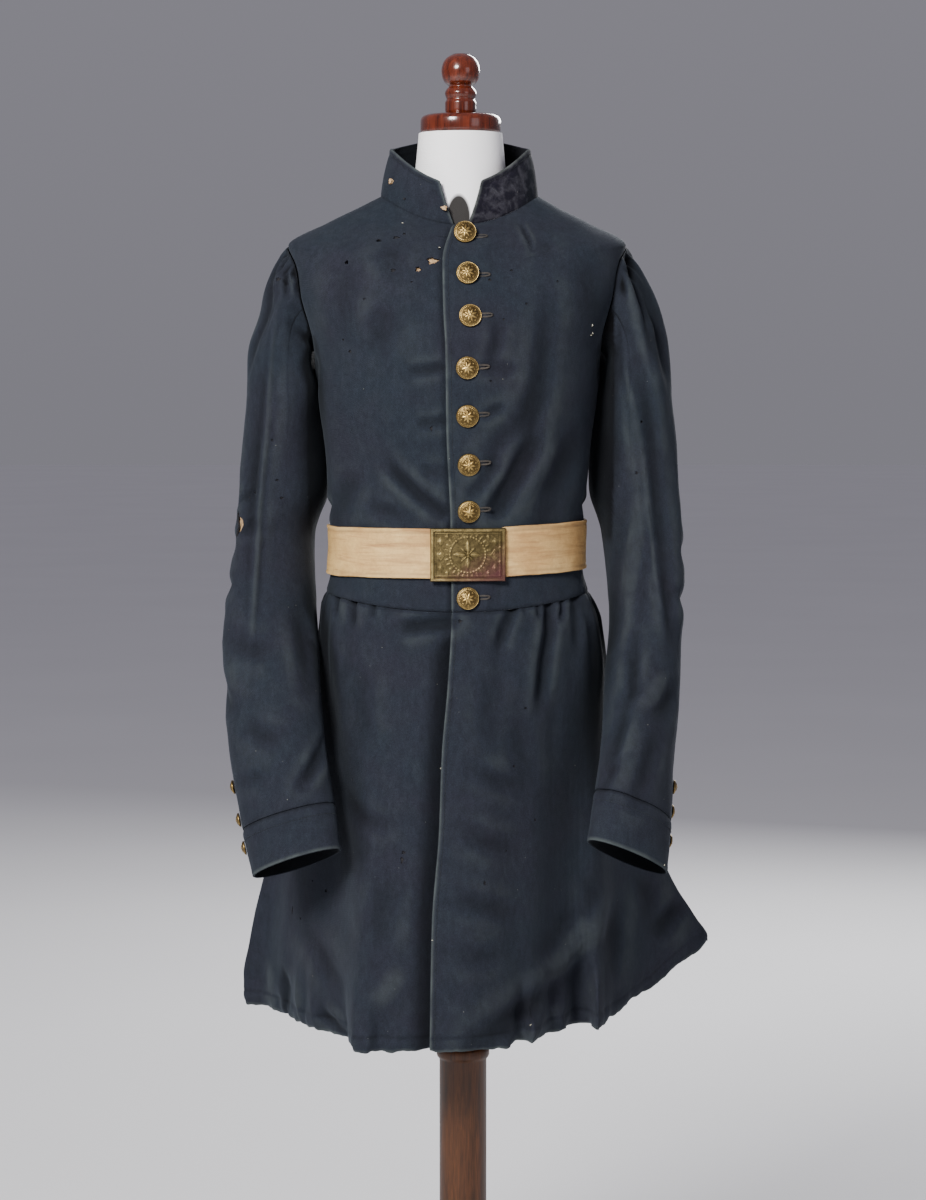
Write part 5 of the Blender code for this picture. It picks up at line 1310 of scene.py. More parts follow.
def sleeve_piece(name, side, column, steps, closed=False, bead=None, soft=(), seams=(0.25, 0.25, 0.35, 0.5)):
    """A panel or tube of a sleeve."""
    step = np.broadcast_to(np.asarray(steps, float)[:, None], (len(steps), np.shape(column)[-1]))
    column = np.broadcast_to(column, step.shape)
    surface = lambda a, b: sleeve(side, a, b)
    out = -side * facing(surface, column, step, 0.1)
    flat = out * np.array([0, 1, 1])
    flat = flat / np.linalg.norm(flat, axis=-1, keepdims=True)
    share = ease(step / 0.04)[..., None]
    out = flat * (1 - share) + out * share
    out = out / np.linalg.norm(out, axis=-1, keepdims=True)
    base = surface(column, step)
    shift, fold = sleeve_detail(side, column, step, base, out)
    distances = edge_distances(base)
    wear = tone(fold, list(zip(seams, distances)), [distances[3]] if "high" in soft else [])
    # Painted shade under the arm: cloth that faces the body, past the edge and between the heights given
    # above, turns near black.
    beyond = side * (UNDERARM_SHADE_EDGE[side] - base[..., 0] - out[..., 0] * shift)
    height = base[..., 2]
    wear = wear - 1.4 * (ease(beyond / 3 + 0.5) * ease((0.1 - side * out[..., 0]) / 0.3)
                         * ease((UNDERARM_SHADE_TOP - height) / 20) * ease((height - UNDERARM_SHADE_LOW) / 25))
    for share, distance in zip(seams, distances):
        shift = shift + share * rolled(distance, 0.8)
        shift = shift + share * 0.35 * noise(base, 8, 26) * np.exp(-(distance / 10) ** 2)
    if bead is not None:
        raised = bead(step)
        shift = shift + raised
        # Painted shade in the bead's grooves: where the cloth sinks, it turns darker.
        wear = wear + np.clip(raised, -0.6, 0) * 0.9
    outer = base + out * shift[..., None]
    made = shell(name, outer, outer - out * WALL, WOOL, closed, soft, wear)
    return made, outer, out


CUFF_STITCHES = 11.5  # how far below the cuff's seam its row of stitches runs


def cuff_bead(step):
    """The cuff's rolled seam, its stitched line and its rounded lower edge."""
    down = (step - CUFF_STEPS[0]) * CUFF_TALL
    return (0.5 * np.exp(-((down - 6) / 3.0) ** 2) - 0.6 * np.exp(-((down - CUFF_STITCHES) / 1.2) ** 2)
            - 0.5 * np.exp(-((down - 1.5) / 1.2) ** 2) + 0.4 * np.exp(-((down - CUFF_TALL + 2) / 2) ** 2))


def sleeves():
    fine = np.concatenate([np.linspace(0, 1, 38), np.linspace(1, 8, 160)[1:]])
    for side, word in ((-1, "left"), (1, "right")):
        front = 0.3 * sleeve_shift(side, SEAM_FRONT, fine)
        back = sleeve_shift(side, SEAM_BACK, fine)
        top = span(SEAM_FRONT + front, SEAM_BACK - back, 84)
        under = span(SEAM_BACK + back, SEAM_FRONT + ARMHOLE_COLUMNS - front, 54)
        made, _, _ = sleeve_piece(f"top_sleeve_{word}_cloth", side, top, fine, seams=(0.04, 0.25, 0.35, 0.5))
        if side == -1:
            cut_elbow(made)
            cut_table(made, LEFT_SLEEVE_PITS)
        else:
            cut_table(made, RIGHT_SLEEVE_PITS)
        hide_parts(f"top_sleeve_{word}")
        made, _, _ = sleeve_piece(f"under_sleeve_{word}_cloth", side, under, fine,
                                  seams=(0.25, 0.04, 0.35, 0.5))
        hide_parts(f"under_sleeve_{word}")
        cuff_steps = np.concatenate([[CUFF_STEPS[0] + CUFF_GAP / CUFF_TALL], np.linspace(8.08, 9, 14)])

        made, outer, out = sleeve_piece(f"cuff_{word}_cloth", side, np.arange(0, ARMHOLE_COLUMNS, 0.2),
                                        cuff_steps, True, cuff_bead, ("high",), (0, 0, 1, 0))
        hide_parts(f"cuff_{word}")
        row = int(np.argmin(np.abs((cuff_steps - CUFF_STEPS[0]) * CUFF_TALL - CUFF_STITCHES)))
        stitches(f"cuff_{word}_stitching", (outer[row], out[row]), 2.4)


def skirt_detail(side, angle, down, base, out, lap_edge):
    """The small folds, gathers and hem puckers of the skirt."""
    shift = SKIRT_FOLD_DEPTH * seen_from(base, out, front=SKIRT_FRONT_FOLDS)
    if side == -1:
        beside = LAP_LINE(base[..., 2]) - base[..., 0]
        shift = shift + LAP_DIP * np.clip(1 - beside / LAP_DIP_REACH, 0, 1) ** 1.7 * ease(down / 0.12)
    for at, low_at, reach, half_width, depth in BACK_GATHERS:
        if at * side > 0:
            middle = at + (low_at - at) * np.clip(down / reach, 0, 1)
            spread = half_width * (1 + 1.2 * down / reach)
            fade = ease(down / 0.015) * (1 - ease((down - 0.03) / reach))
            shift = shift + depth * fade * np.exp(-((angle - middle) / spread) ** 2)
    fold = shift
    hem = edge_distances(base)[3]
    near = np.exp(-(hem / 22) ** 2)
    shift = shift + 3.0 * near * noise(base, 15, 31) + 2.2 * np.exp(-(hem / 45) ** 2) * noise(base, 34, 32)
    shift = shift - 2.6 * np.exp(-(hem / 5) ** 2) - 0.5 * np.exp(-((hem - 15) / 1.6) ** 2)
    shift = shift + 0.9 * noise(base, 60, 33) + 0.3 * noise(base, 20, 34) + 0.07 * noise(base, 7, 35)
    waist = edge_distances(base)[2]
    gathered = noise(base * np.array([1, 1, 0.2]), 7, 36) * np.exp(-(waist / 16) ** 2)
    shift = shift + rolled(waist, 1.0, 2.4) + 0.5 * gathered
    if lap_edge:
        edge = edge_distances(base)[0]
        rough = ease((820 - base[..., 2]) / 250)
        wavy = noise(base * np.array([0.25, 0.25, 1]), 9, 37)
        shift = shift + 0.9 * np.exp(-(edge / 16) ** 2) * wavy * rough
        shift = shift + 0.6 * np.exp(-((edge - 1.6) / 1.5) ** 2)
    return shift, fold


SKIRT_FOLD_DEPTH = 1.35
LAP_DIP, LAP_DIP_REACH = -11.0, 25.0  # how far the under skirt sinks beside the lap, and from how far out


def hem_shift(side, angle, down):
    """How far the skirt's middle lies from straight lines to its hem, as its flutes die out upward."""
    hem = HEM[side]
    blur = np.zeros(angle.shape + (3,))
    weights = 0.0
    for off in np.arange(-18, 18.1, 3):
        weight = math.exp(-(off / 9) ** 2)
        turned = np.clip(angle + off, *HEM_LIMITS[side])
        blur += weight * np.stack([hem["x"](turned), hem["y"](turned), 0 * turned], -1)
        weights += weight
    end = np.stack([hem["x"](angle), hem["y"](angle), 0 * angle], -1)
    share = SPREAD_LINE(down) * (1 - ease((down - 0.80) / 0.19)) * (1 - ease((np.abs(angle) - 88) / 15))
    return (blur / weights - end) * (share * ease((np.abs(angle) - 12) / 10))[..., None]


HEM_LIMITS = {-1: (-180, 9), 1: (-12, 180)}


def skirt_piece(name, side, angle, down, lifted=False, seams=(1, 1), soft=("high",)):
    """A panel of the skirt; lifted says that it is the one with the lap."""
    surface = lambda a, b: skirt(side, a, b) + hem_shift(side, *np.broadcast_arrays(a, b))
    down = np.broadcast_to(down[:, None], angle.shape)
    out = -facing(surface, angle, down, 0.4, 0.01)
    base = surface(angle, down)
    shift, fold = skirt_detail(side, angle, down, base, out, lifted)
    first, last, waist, hem = edge_distances(base)
    shift = shift + seams[0] * rolled(first) + seams[1] * rolled(last)
    wear = tone(fold, [(seams[0], first), (seams[1], last), (1, waist), (0.7, np.abs(hem - 15))],
                [hem] + ([first] if lifted else []))
    if lifted:
        shift = shift + lap(base[..., 0])
    outer = base + out * shift[..., None]
    ragged = np.array([0, 0, 1.0]) * (1.8 * noise(base, 13, 41) + 1.2 * noise(base, 5, 42))[..., None]
    hem = edge_distances(base)[3][..., None]
    outer = outer + ragged * np.exp(-(hem / 9) ** 2)
    return shell(name, outer, outer - out * WALL, WOOL, soft=soft, wear=wear), outer, out


def skirts():
    down = np.concatenate([np.linspace(0, 0.3, 34), np.linspace(0.3, 0.85, 50)[1:],
                           np.linspace(0.85, 1, 24)[1:]])
    for side, word in ((-1, "left"), (1, "right")):
        surface = lambda a, b: skirt(side, a, b)
        seam = TAIL_SEAM[side]
        shift = seam_shift(surface, seam, down)
        first = lap_angles(down) if side == 1 else np.full(len(down), UNDERLAP_SKIRT)
        angle = span(first, seam - side * shift, 190)
        made, outer, out = skirt_piece(f"skirt_{word}_cloth", side, angle, down, side == 1, (0, 1),
                                       ("high", "first"))
        cut_table(made, SKIRT_PITS[side])
        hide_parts(f"skirt_{word}")
        if side == 1:
            edge = edge_distances(outer)[0]
            line = stitch_line(outer, out, edge, 4.6, np.arange(2, len(down) - 2))
            stitches("skirt_lap_stitching", line, 2.6)
        middle = side * (180 - seam_shift(surface, side * 180.0, down))
        made, _, _ = skirt_piece(f"tail_{word}_cloth", side, span(seam + side * shift, middle, 64), down)
        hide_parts(f"tail_{word}")


# Moth holes and pits: right of the middle, height, half width, half height
CHEST_HOLES = ((-31.0, 1301.0, 5.6, 3.8), (-45.5, 1292.0, 3.0, 2.6), (-86.0, 1322.0, 2.6, 1.9),
               (-118.5, 1299.5, 1.9, 2.1), (-24.0, 1313.0, 1.1, 1.0))
FRONT_LEFT_PITS = ((-71, 1291, 2.6, 1.8), (-68, 1325, 3.2, 1.6), (-60, 1329, 1.6, 1.4),
                   (-115, 1209, 1.8, 1.4), (-32, 1131, 1.5, 2.6), (-122, 1221, 1.2, 1.0),
                   (-52, 1279, 1.2, 1.0), (-100, 1262, 1.0, 0.9))
FRONT_RIGHT_PITS = ((64, 1257, 1.1, 1.1), (41, 1241, 1.1, 1.2), (49, 1291, 1.3, 0.9), (27, 1281, 1.6, 1.6),
                    (28, 1179, 1.2, 1.0), (133, 1235, 1.0, 2.2), (133, 1226, 1.3, 2.0), (96, 1280, 1.0, 0.9))
COLLAR_HOLES = ((-73.2, 1384.6, 2.1, 2.6),)
COLLAR_NICKS = ((-19.0, 1355.5, 3.0, 2.2),)
COLLAR_PITS = ((-60, 1366, 1.2, 1.2),)
LEFT_SLEEVE_PITS = ((-188.2, 1058, 1.9, 1.5), (-184.6, 1063, 1.5, 1.8), (-193, 1076.5, 1.7, 1.0),
                    (-177.3, 1181, 1.1, 1.1), (-197.5, 1118, 1.1, 1.2), (-222, 1058, 1.5, 1.0),
                    (-216, 1063, 1.1, 1.0), (-190.8, 1284, 2.8, 1.7))
RIGHT_SLEEVE_PITS = ((158, 1226, 2.2, 1.5), (184.5, 1137, 1.5, 1.4), (180, 1084, 1.2, 1.6),
                     (178, 1022, 1.1, 1.3))
SKIRT_PITS = {-1: ((-62, 693, 1.6, 3.4), (-60.4, 700.6, 2.0, 1.6), (-143, 648, 2.0, 1.6),
                   (-182, 616, 1.4, 4.0), (-172, 611, 1.5, 1.4), (-158, 655, 1.1, 1.1),
                   (-114, 770, 1.0, 1.0)),
              1: ((-3, 935, 2.0, 1.8), (64, 845, 1.3, 1.2), (52, 786, 1.2, 1.2), (74, 729, 1.4, 1.3),
                  (22, 670, 1.2, 2.0), (44, 700, 1.0, 1.0))}


def plugs(places, material, depths, sides=22):
    """One object of uneven plugs standing through a surface."""
    points, faces = [], []
    for n, (point, out, half_wide, half_tall) in enumerate(places):
        level, up = frame_of(out)
        first = len(points)
        for depth in depths:
            for i in range(sides):
                turn = 2 * math.pi * i / sides
                uneven = (1 + 0.20 * math.sin(3 * turn + 1 + n) + 0.15 * math.sin(5 * turn + 2 * n)
                          + 0.11 * math.sin(9 * turn + n))
                points.append(point + out * depth + level * half_wide * uneven * math.cos(turn)
                              + up * half_tall * uneven * math.sin(turn))
        faces.append(list(range(first, first + sides)))
        faces.append(list(range(first + sides, first + 2 * sides)))
        faces += [[first + i, first + (i + 1) % sides, first + (i + 1) % sides + sides, first + i + sides]
                  for i in range(sides)]
    mesh = bpy.data.meshes.new("cutter")
    mesh.from_pydata((np.array(points) * MM).tolist(), [], faces)
    face_outward(mesh)
    mesh.materials.append(material)
    return linked("cutter", mesh)


def cut(made, places, depths, material):
    """Cut plugs out of a piece of cloth; the cut faces take the plug's material."""
    cutter = plugs(places, material, depths)
    modifier = made.modifiers.new("cut", "BOOLEAN")
    modifier.operation = "DIFFERENCE"
    modifier.solver = "EXACT"
    modifier.material_mode = "TRANSFER"
    modifier.object = cutter
    cut_mesh = bpy.data.meshes.new_from_object(made.evaluated_get(bpy.context.evaluated_depsgraph_get()))
    made.modifiers.clear()
    old = made.data
    made.data = cut_mesh
    cut_mesh.name = made.name
    bpy.data.meshes.remove(old)
    bpy.data.objects.remove(cutter, do_unlink=True)


def surface_at(made, x, z, toward=-1):
    """The place on a piece seen from the front at x and z, and the way it faces."""
    start = Vector((x * MM, toward * 1.0, z * MM))
    hit, point, normal, _ = made.ray_cast(start, Vector((0, -toward, 0)))
    return (np.array(point) / MM, np.array(normal)) if hit else None


THROUGH, PART_WAY = (-5.0, 3.0), (-1.3, 2.0)  # depth and height of a hole's plug and of a pit's


def cut_table(made, table, depths=PART_WAY, material=TORN_WOOL):
    """Cut a table of pits or holes into a piece, where a ray from the front meets it."""
    places = []
    for x, z, half_wide, half_tall in table:
        found = surface_at(made, x, z)
        if found:
            places.append((*found, half_wide, half_tall))
    cut(made, places, depths, material)


ELBOW_TEAR_ANGLE = 50.0  # the tear's middle, round the arm from straight ahead


def cut_elbow(made):
    """Tear the left elbow open."""
    point, out = arm_point(-1, ELBOW_TEAR_ANGLE, ELBOW_HOLE_STEP + 0.03)
    cut(made, [(point, out, ELBOW_HOLE_WIDE + 1.2, ELBOW_HOLE_TALL + 0.5)], (-6.0, 5.0), TORN_WOOL)


def linings():
    level = np.linspace(CHEST_LINING[0], CHEST_LINING[1], 26)
    outer_edge = seam_angles(SIDE_LINE, level, -1)
    first = -body_angle(np.full(level.shape, UNDERLAP), level)
    whole = span(first, outer_edge, 10)
    angle = span(whole[:, 1], whole[:, 4], 36)
    surface = lambda a, b: body(-a, b)
    out = -facing(surface, angle, level[:, None])
    base = surface(angle, level[:, None])
    fold = FOLD_DEPTH * np.minimum(0, seen_from(base, out, BODY_FRONT_FOLDS))
    outer = base + out * (fold - WALL - LINING_GAP - 0.5 + 0.25 * noise(base, 9, 51))[..., None]
    made = shell("lining_chest_cloth", outer, outer - out * LINING_THICK, LINING)
    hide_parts("lining_chest")
    step = np.linspace(*ELBOW_LINING, 26)
    front = sleeve_shift(-1, SEAM_FRONT, step)
    back = sleeve_shift(-1, SEAM_BACK, step)
    top = span(SEAM_FRONT + front, SEAM_BACK - back, SEAM_BACK - SEAM_FRONT)
    column = span(top[:, 2], top[:, 5], 30)
    surface = lambda a, b: sleeve(-1, a, b)
    out = facing(surface, column, step[:, None], 0.1)
    base = surface(column, step[:, None])
    shift, _ = sleeve_detail(-1, column, np.broadcast_to(step[:, None], column.shape), base, out)
    outer = base + out * (shift - WALL - LINING_GAP - 0.8 + 0.4 * noise(base, 8, 52))[..., None]
    made = shell("lining_elbow_cloth", outer, outer - out * LINING_THICK, LINING)
    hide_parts("lining_elbow")


def stitch_line(outer, out, distance, at, rows):
    """The line of points of a grid at one distance from its first edge, row by row."""
    points, normals = [], []
    for row in np.arange(len(outer))[rows]:
        place = np.interp(at, distance[row], np.arange(outer.shape[1]))
        low = int(place)
        t = place - low
        points.append(outer[row, low] * (1 - t) + outer[row, low + 1] * t)
        normals.append(out[row, low])
    return np.array(points), np.array(normals)


def stitches(name, line, length, radius=0.28, material=None):
    """A row of thread stitches lying on a line of points."""
    points, normals = line
    run = np.concatenate([[0], np.cumsum(np.linalg.norm(np.diff(points, axis=0), axis=1))])
    count = int(run[-1] / (length * 1.25))
    places, faces = [], []
    for i in range(count):
        a, b = (i + 0.1) * run[-1] / count, (i + 0.9) * run[-1] / count
        ends = [np.array([np.interp(s, run, points[:, k]) for k in range(3)]) for s in (a, (a + b) / 2, b)]
        normal = np.array([np.interp(a, run, normals[:, k]) for k in range(3)])
        along = ends[2] - ends[0]
        along = along / np.linalg.norm(along)
        across = np.cross(along, normal)
        first = len(places)
        for end, thick, rise in zip(ends, (0.5, 1.0, 0.5), (0.0, 0.35, 0.0)):
            for turn in range(5):
                t = 2 * math.pi * turn / 5
                round_it = across * math.cos(t) + normal * math.sin(t)
                places.append(end + normal * (rise + 0.05) + round_it * radius * thick)
        for ring_at in (0, 1):
            for turn in range(5):
                a0, b0 = first + ring_at * 5 + turn, first + ring_at * 5 + (turn + 1) % 5
                faces.append([a0, b0, b0 + 5, a0 + 5])
        faces.append(list(range(first, first + 5)))
        faces.append(list(range(first + 10, first + 15)))
    return add_mesh(name, places, faces, material or THREAD, 80)


def buttonholes():
    """Hand-worked buttonholes beside the front buttons."""
    front = bpy.data.objects["front_right_cloth"]
    for i, (x, z, _) in enumerate(FRONT_BUTTONS, start=1):
        turns, around = 96, 6
        tall, wide, middle_x = 1.7, 9.0, x + 13.5
        points, faces = [], []
        path = []
        for k in range(turns):
            t = 2 * math.pi * k / turns
            px = wide * math.copysign(abs(math.cos(t)) ** 0.55, math.cos(t))
            pz = tall * math.copysign(abs(math.sin(t)) ** 0.9, math.sin(t)) + 0.05 * px
            path.append((middle_x + px, z + 1.2 + pz))
        point, out = surface_at(front, middle_x, z + 1.2)
        level, up = frame_of(out)
        centres = [point + level * (a - middle_x) + up * (b - z - 1.2) + out * 0.25 for a, b in path]
        for k, centre in enumerate(centres):
            ahead = centres[(k + 1) % turns] - centres[k - 1]
            ahead = ahead / np.linalg.norm(ahead)
            across = np.cross(ahead, out)
            size = 0.95 if k % 2 else 0.72
            for r in range(around):
                t = 2 * math.pi * r / around
                points.append(centre + (across * math.cos(t) * 1.15 + out * math.sin(t) * 0.7) * size)
        for k in range(turns):
            for r in range(around):
                a, b = k * around + r, k * around + (r + 1) % around
                c, d = (k + 1) % turns * around + r, (k + 1) % turns * around + (r + 1) % around
                faces.append([a, b, d, c])
        add_mesh(f"buttonhole_{i}", points, faces, HOLE_THREAD, 80)


# piece, right of the middle, height, length and turn of each loose end of light thread
LOOSE_THREADS = (
    ("front_right_cloth", 132, 1236, 3.2, 80), ("front_right_cloth", 132.5, 1228, 2.8, 100),
    ("front_right_cloth", 131, 1226, 1.8, 20), ("front_left_cloth", -24, 1314, 2.4, 10),
    ("front_left_cloth", -62, 1340, 2.2, 0), ("top_sleeve_left_cloth", -170, 1043, 3.6, 8),
    ("skirt_right_cloth", -22, 786, 2.4, 90), ("skirt_right_cloth", 70, 518, 3.0, 60),
    ("skirt_right_cloth", 37, 496, 2.4, 30), ("skirt_right_cloth", -31, 614, 1.8, 0),
    ("cuff_right_cloth", 205, 686, 2.2, 70),
)


def loose_threads():
    """Light thread ends that lie loosely on the cloth."""
    for i, (name, x, z, length, turn) in enumerate(LOOSE_THREADS, start=1):
        found = surface_at(bpy.data.objects[name], x, z)
        if found:
            point, out = found
            level, up = frame_of(out)
            along = level * math.cos(math.radians(turn)) + up * math.sin(math.radians(turn))
            path = np.array([point + along * length * share + out * (0.3 + 0.8 * bend) for share, bend
                             in ((-0.5, 0.0), (-0.2, 0.5), (0.2, 0.4), (0.5, 0.0))])
            stitches(f"loose_thread_{i}", (path, np.array([out] * 4)), length / 1.5, 0.5, PALE_THREAD)


SHADE_REACH = 22.0  # cloth that hangs nearer than this to another piece gets painted shade
TRUNK = ("front_left", "front_right", "side_body_left", "side_body_right", "back_left", "back_right",
         "skirt_left", "skirt_right", "tail_left", "tail_right")


def contact_tree(names):
    """A search tree over some cloth pieces, in millimetres."""
    points, faces = [], []
    for name in names:
        mesh = bpy.data.objects[name + "_cloth"].data
        first = len(points)
        points += [tuple(v.co / MM) for v in mesh.vertices]
        faces += [[first + i for i in face.vertices] for face in mesh.polygons]
    return BVHTree.FromPolygons(points, faces)


def darken_near(names, tree):
    """Paint shade onto the points of cloth pieces that face a near surface of a tree."""
    for name in names:
        mesh = bpy.data.objects[name + "_cloth"].data
        wear = mesh.attributes["wear"].data
        for vertex in mesh.vertices:
            place = vertex.co / MM
            near, _, _, distance = tree.find_nearest(place, 2.2 * SHADE_REACH)
            if near is not None and distance > 0.2:
                facing_it = vertex.normal.dot(near - place) / distance
                if facing_it > 0.25:
                    share = math.exp(-(distance / SHADE_REACH) ** 2) * min(1.0, (facing_it - 0.25) / 0.35)
                    wear[vertex.index].value = max(-1.0, wear[vertex.index].value - 1.3 * share)


def contact_shade():
    """Painted shade on the cloth where the arms hang against the coat."""
    trunk = contact_tree(TRUNK)
    for word in ("left", "right"):
        arm = [f"{part}_{word}" for part in ("top_sleeve", "under_sleeve", "cuff")]
        near_arm = contact_tree(arm)
        darken_near(arm, trunk)
        darken_near([name for name in TRUNK if name.endswith(word)], near_arm)


def button_height(r, t):
    """The raised pattern of a button: a rope border and an eight-pointed star over fine rays."""
    dome = 0.42 * (1 - r * r) + 0.02
    rim = 0.055 * np.exp(-((r - 0.955) / 0.03) ** 2)
    rope = 0.055 * np.exp(-((r - 0.84) / 0.05) ** 2) * (0.55 + 0.45 * np.sin(34 * t + 9 * r))
    fold = np.abs(np.mod(t * 8 / (2 * np.pi) + 0.5, 1) - 0.5) * 2
    point = 0.66 - 0.36 * fold
    star = 0.10 * np.clip((point - r) / 0.12, 0, 1) * (1 - 0.55 * fold * np.clip(r / 0.4, 0, 1))
    boss = 0.07 * np.clip((0.17 - r) / 0.06, 0, 1)
    rays = 0.018 * np.sin(48 * t) * np.exp(-((r - 0.68) / 0.1) ** 2)
    dots = 0.05 * np.exp(-((r - 0.66) / 0.05) ** 2) * np.clip(np.sin(8 * t - np.pi / 2) - 0.55, 0, 1) * 2.2
    return dome + rim + rope + star + boss + rays + dots


def fine_button(name, node, point, out, radius, lift, fine, turn_by):
    """A stamped dome button that stands for its solid."""
    level, up = frame_of(out)
    angle = math.radians(turn_by)
    level, up = level * math.cos(angle) + up * math.sin(angle), up * math.cos(angle) - level * math.sin(angle)
    rings = np.linspace(0.03, 0.985, fine)
    t = np.arange(fine * 4) * 2 * np.pi / (fine * 4)
    r_grid, t_grid = np.meshgrid(rings, t, indexing="ij")
    high = button_height(r_grid, t_grid)
    base = point + out * (lift + 0.12 * radius)
    spokes = level * np.cos(t_grid)[..., None] + up * np.sin(t_grid)[..., None]
    grid = base + spokes * (r_grid * radius)[..., None] + out * (high * radius * 0.8)[..., None]
    back = []
    for share, height in ((1.0, 0.10), (0.99, 0.02), (0.93, 0.0)):
        back.append(point + out * (lift + height * radius)
                    + (level * np.cos(t)[:, None] + up * np.sin(t)[:, None]) * radius * share)
    rows = np.concatenate([grid, np.array(back)])
    count = len(t)
    points = np.concatenate([rows.reshape(-1, 3), [base + out * button_height(0, 0) * radius * 0.8],
                             [point + out * lift]])
    faces = grid_faces(len(rows), count, 0, True)
    top, bottom = len(points) - 2, len(points) - 1
    last = (len(rows) - 1) * count
    faces += [[(i + 1) % count, i, top] for i in range(count)]
    faces += [[last + i, last + (i + 1) % count, bottom] for i in range(count)]
    made = add_mesh(name, points, faces, BRASS, 60)
    raised = np.clip((high - 0.42 * (1 - r_grid ** 2) - 0.02) / 0.06, 0, 1).ravel()
    raised = np.concatenate([raised, np.full(3 * count, 0.3), [1.0, 0.0]])
    set_surface_tone(made, raised)
    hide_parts(node)
    return made


BUTTON_LEAN = 0.22  # a button on its shank faces no further up than this


def fine_buttons():
    for i, (x, z, seat) in enumerate(FRONT_BUTTONS, start=1):
        point, out = body_at(x, z)
        level, up = frame_of(out)
        lean = max(0.0, out[2] - BUTTON_LEAN)
        face = out * math.cos(lean) - up * math.sin(lean) + level * 0.03 * math.sin(2.1 * i)
        face = face / np.linalg.norm(face)
        point = point + out * (LAP + seat + 0.5 + FRONT_BUTTON_RADIUS * math.sin(lean) * 0.8)
        fine_button(f"front_button_{i}_brass", f"front_button_{i}", point, face, FRONT_BUTTON_RADIUS,
                    0, 34, 37 * i)
    for side, word in ((-1, "left"), (1, "right")):
        for i, (step, angle) in enumerate(CUFF_BUTTONS[side], start=1):
            point, out = arm_point(side, angle, step)
            fine_button(f"cuff_button_{word}_{i}_brass", f"cuff_button_{word}_{i}", point, out,
                        CUFF_BUTTON_RADIUS, CUFF_BUTTON_SEAT + 0.4, 22, 53 * i)


# Lozenges of the plate: right of its middle, above its middle, half height; each also stands on the left
LOZENGES = ((27.5, 0, 5.4), (27.8, 13.5, 3.8), (27.8, -13.5, 3.8), (21.0, 18.4, 2.6), (21.0, -18.4, 2.6),
            (33.0, 7.2, 2.2), (33.0, -7.2, 2.2))


def plate_height(x, z):
    """The cast relief of the plate: a compass star in a beaded ring between lozenges."""
    r, t = np.hypot(x, z), np.arctan2(z, x)
    high = 0.0625 * noise(np.stack([x, z, 0 * x], -1), 2.2, 61)
    fold = np.abs(np.mod(t * 8 / (2 * np.pi) + 0.5, 1) - 0.5) * 2
    long = np.abs(np.mod(t * 4 / (2 * np.pi) + 0.5, 1) - 0.5) * 2
    point = np.where(long < 0.5, 15.5, 10.5) - 8.5 * fold
    high = high + 1.2 * np.clip((point - r) / 4.0, 0, 1) * (1 - 0.6 * fold)
    high = high + 0.9 * np.clip((2.4 - r) / 0.8, 0, 1)
    beads = 0.5 + 0.5 * np.cos(36 * t)
    high = high + 0.75 * np.exp(-((r - 18.2) / 0.9) ** 2) * (0.25 + 0.75 * beads)
    rays = np.clip(np.cos(28 * t), 0, 1) * ((r > 20) & (r < 24.0))
    high = high + 0.35 * rays
    for cx, cz, half in LOZENGES:
        for sign in (-1, 1):
            far = np.abs(x - sign * cx) / (half * 0.72) + np.abs(z - cz) / half
            high = high + 0.95 * np.clip(1 - far, 0, 0.62) + 0.5 * np.exp(-((far - 1.02) / 0.09) ** 2)
    return high


def fine_plate():
    half_wide, half_tall = PLATE_WIDE / 2, PLATE_TALL / 2
    xs, zs = np.meshgrid(np.linspace(-half_wide, half_wide, 164), np.linspace(-half_tall, half_tall, 117))
    bow = BELT_THICK + BELT_GAP + LAP - PLATE_SINK
    back = -BODY["front"](2.0) - bow + PLATE_YAW * xs + PLATE_BEND * xs ** 2
    edge = np.minimum(half_wide - np.abs(xs), half_tall - np.abs(zs))
    rim = 1.75 * ease(edge / 0.9) * (1 - ease((edge - 3.2) / 0.9))
    inner_line = 0.35 * np.exp(-((edge - 5.6) / 0.35) ** 2)
    field = ease((edge - 4.6) / 0.8)
    high = rim + inner_line + field * plate_height(xs, zs) * ease((edge - 5.0) / 1.5)
    corner = ease(edge)
    front = np.stack([PLATE_X + xs, back - PLATE_THICK * (0.55 + 0.45 * corner) - high, PLATE_Z + zs], -1)
    rear = np.stack([PLATE_X + xs, back, PLATE_Z + zs], -1)
    made = shell("belt_plate_brass", front, rear, OLD_BRASS, wear=np.clip(high / 0.9, 0, 1))
    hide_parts("belt_plate")


def fine_belt():
    middle = float(body_angle(PLATE_X, 2.0))
    angle = np.linspace(middle + BELT_OPEN, middle + 360 - BELT_OPEN, 330)
    share = np.linspace(0, 1, 27)
    point, out = belt_points(angle[None, :], share[:, None])
    level_out = out * np.array([1, 1, 0])
    level_out = level_out / np.linalg.norm(level_out, axis=-1, keepdims=True)
    edge = np.minimum(share, 1 - share)[:, None] * BELT_TALL
    rise = (0.5 * np.exp(-((edge - 1.6) / 1.4) ** 2) - 0.45 * np.exp(-((edge - 4.2) / 0.9) ** 2)
            + 0.5 * noise(point, 24, 71) + 0.22 * noise(point, 7, 72))
    flat = point * np.array([1, 1, 0.02])
    wander = 0.9 * noise(flat, 40, 73) + 0.35 * noise(flat, 12, 74)
    inner = point + level_out * (BELT_GAP + 0.3 * noise(point, 30, 75)[..., None])
    outer = inner + level_out * (BELT_THICK + rise)[..., None]
    for grid in (inner, outer):
        grid[..., 2] += wander
    wear = -0.9 * np.exp(-((edge - 3.6) / 1.3) ** 2) * (0.6 + 0.4 * noise(point, 12, 76)) + 0 * rise
    made = shell("belt_strap_buff", outer, inner, BUFF, soft=("low", "high"), wear=wear, rim=-1.0)
    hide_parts("belt_strap")
    return made


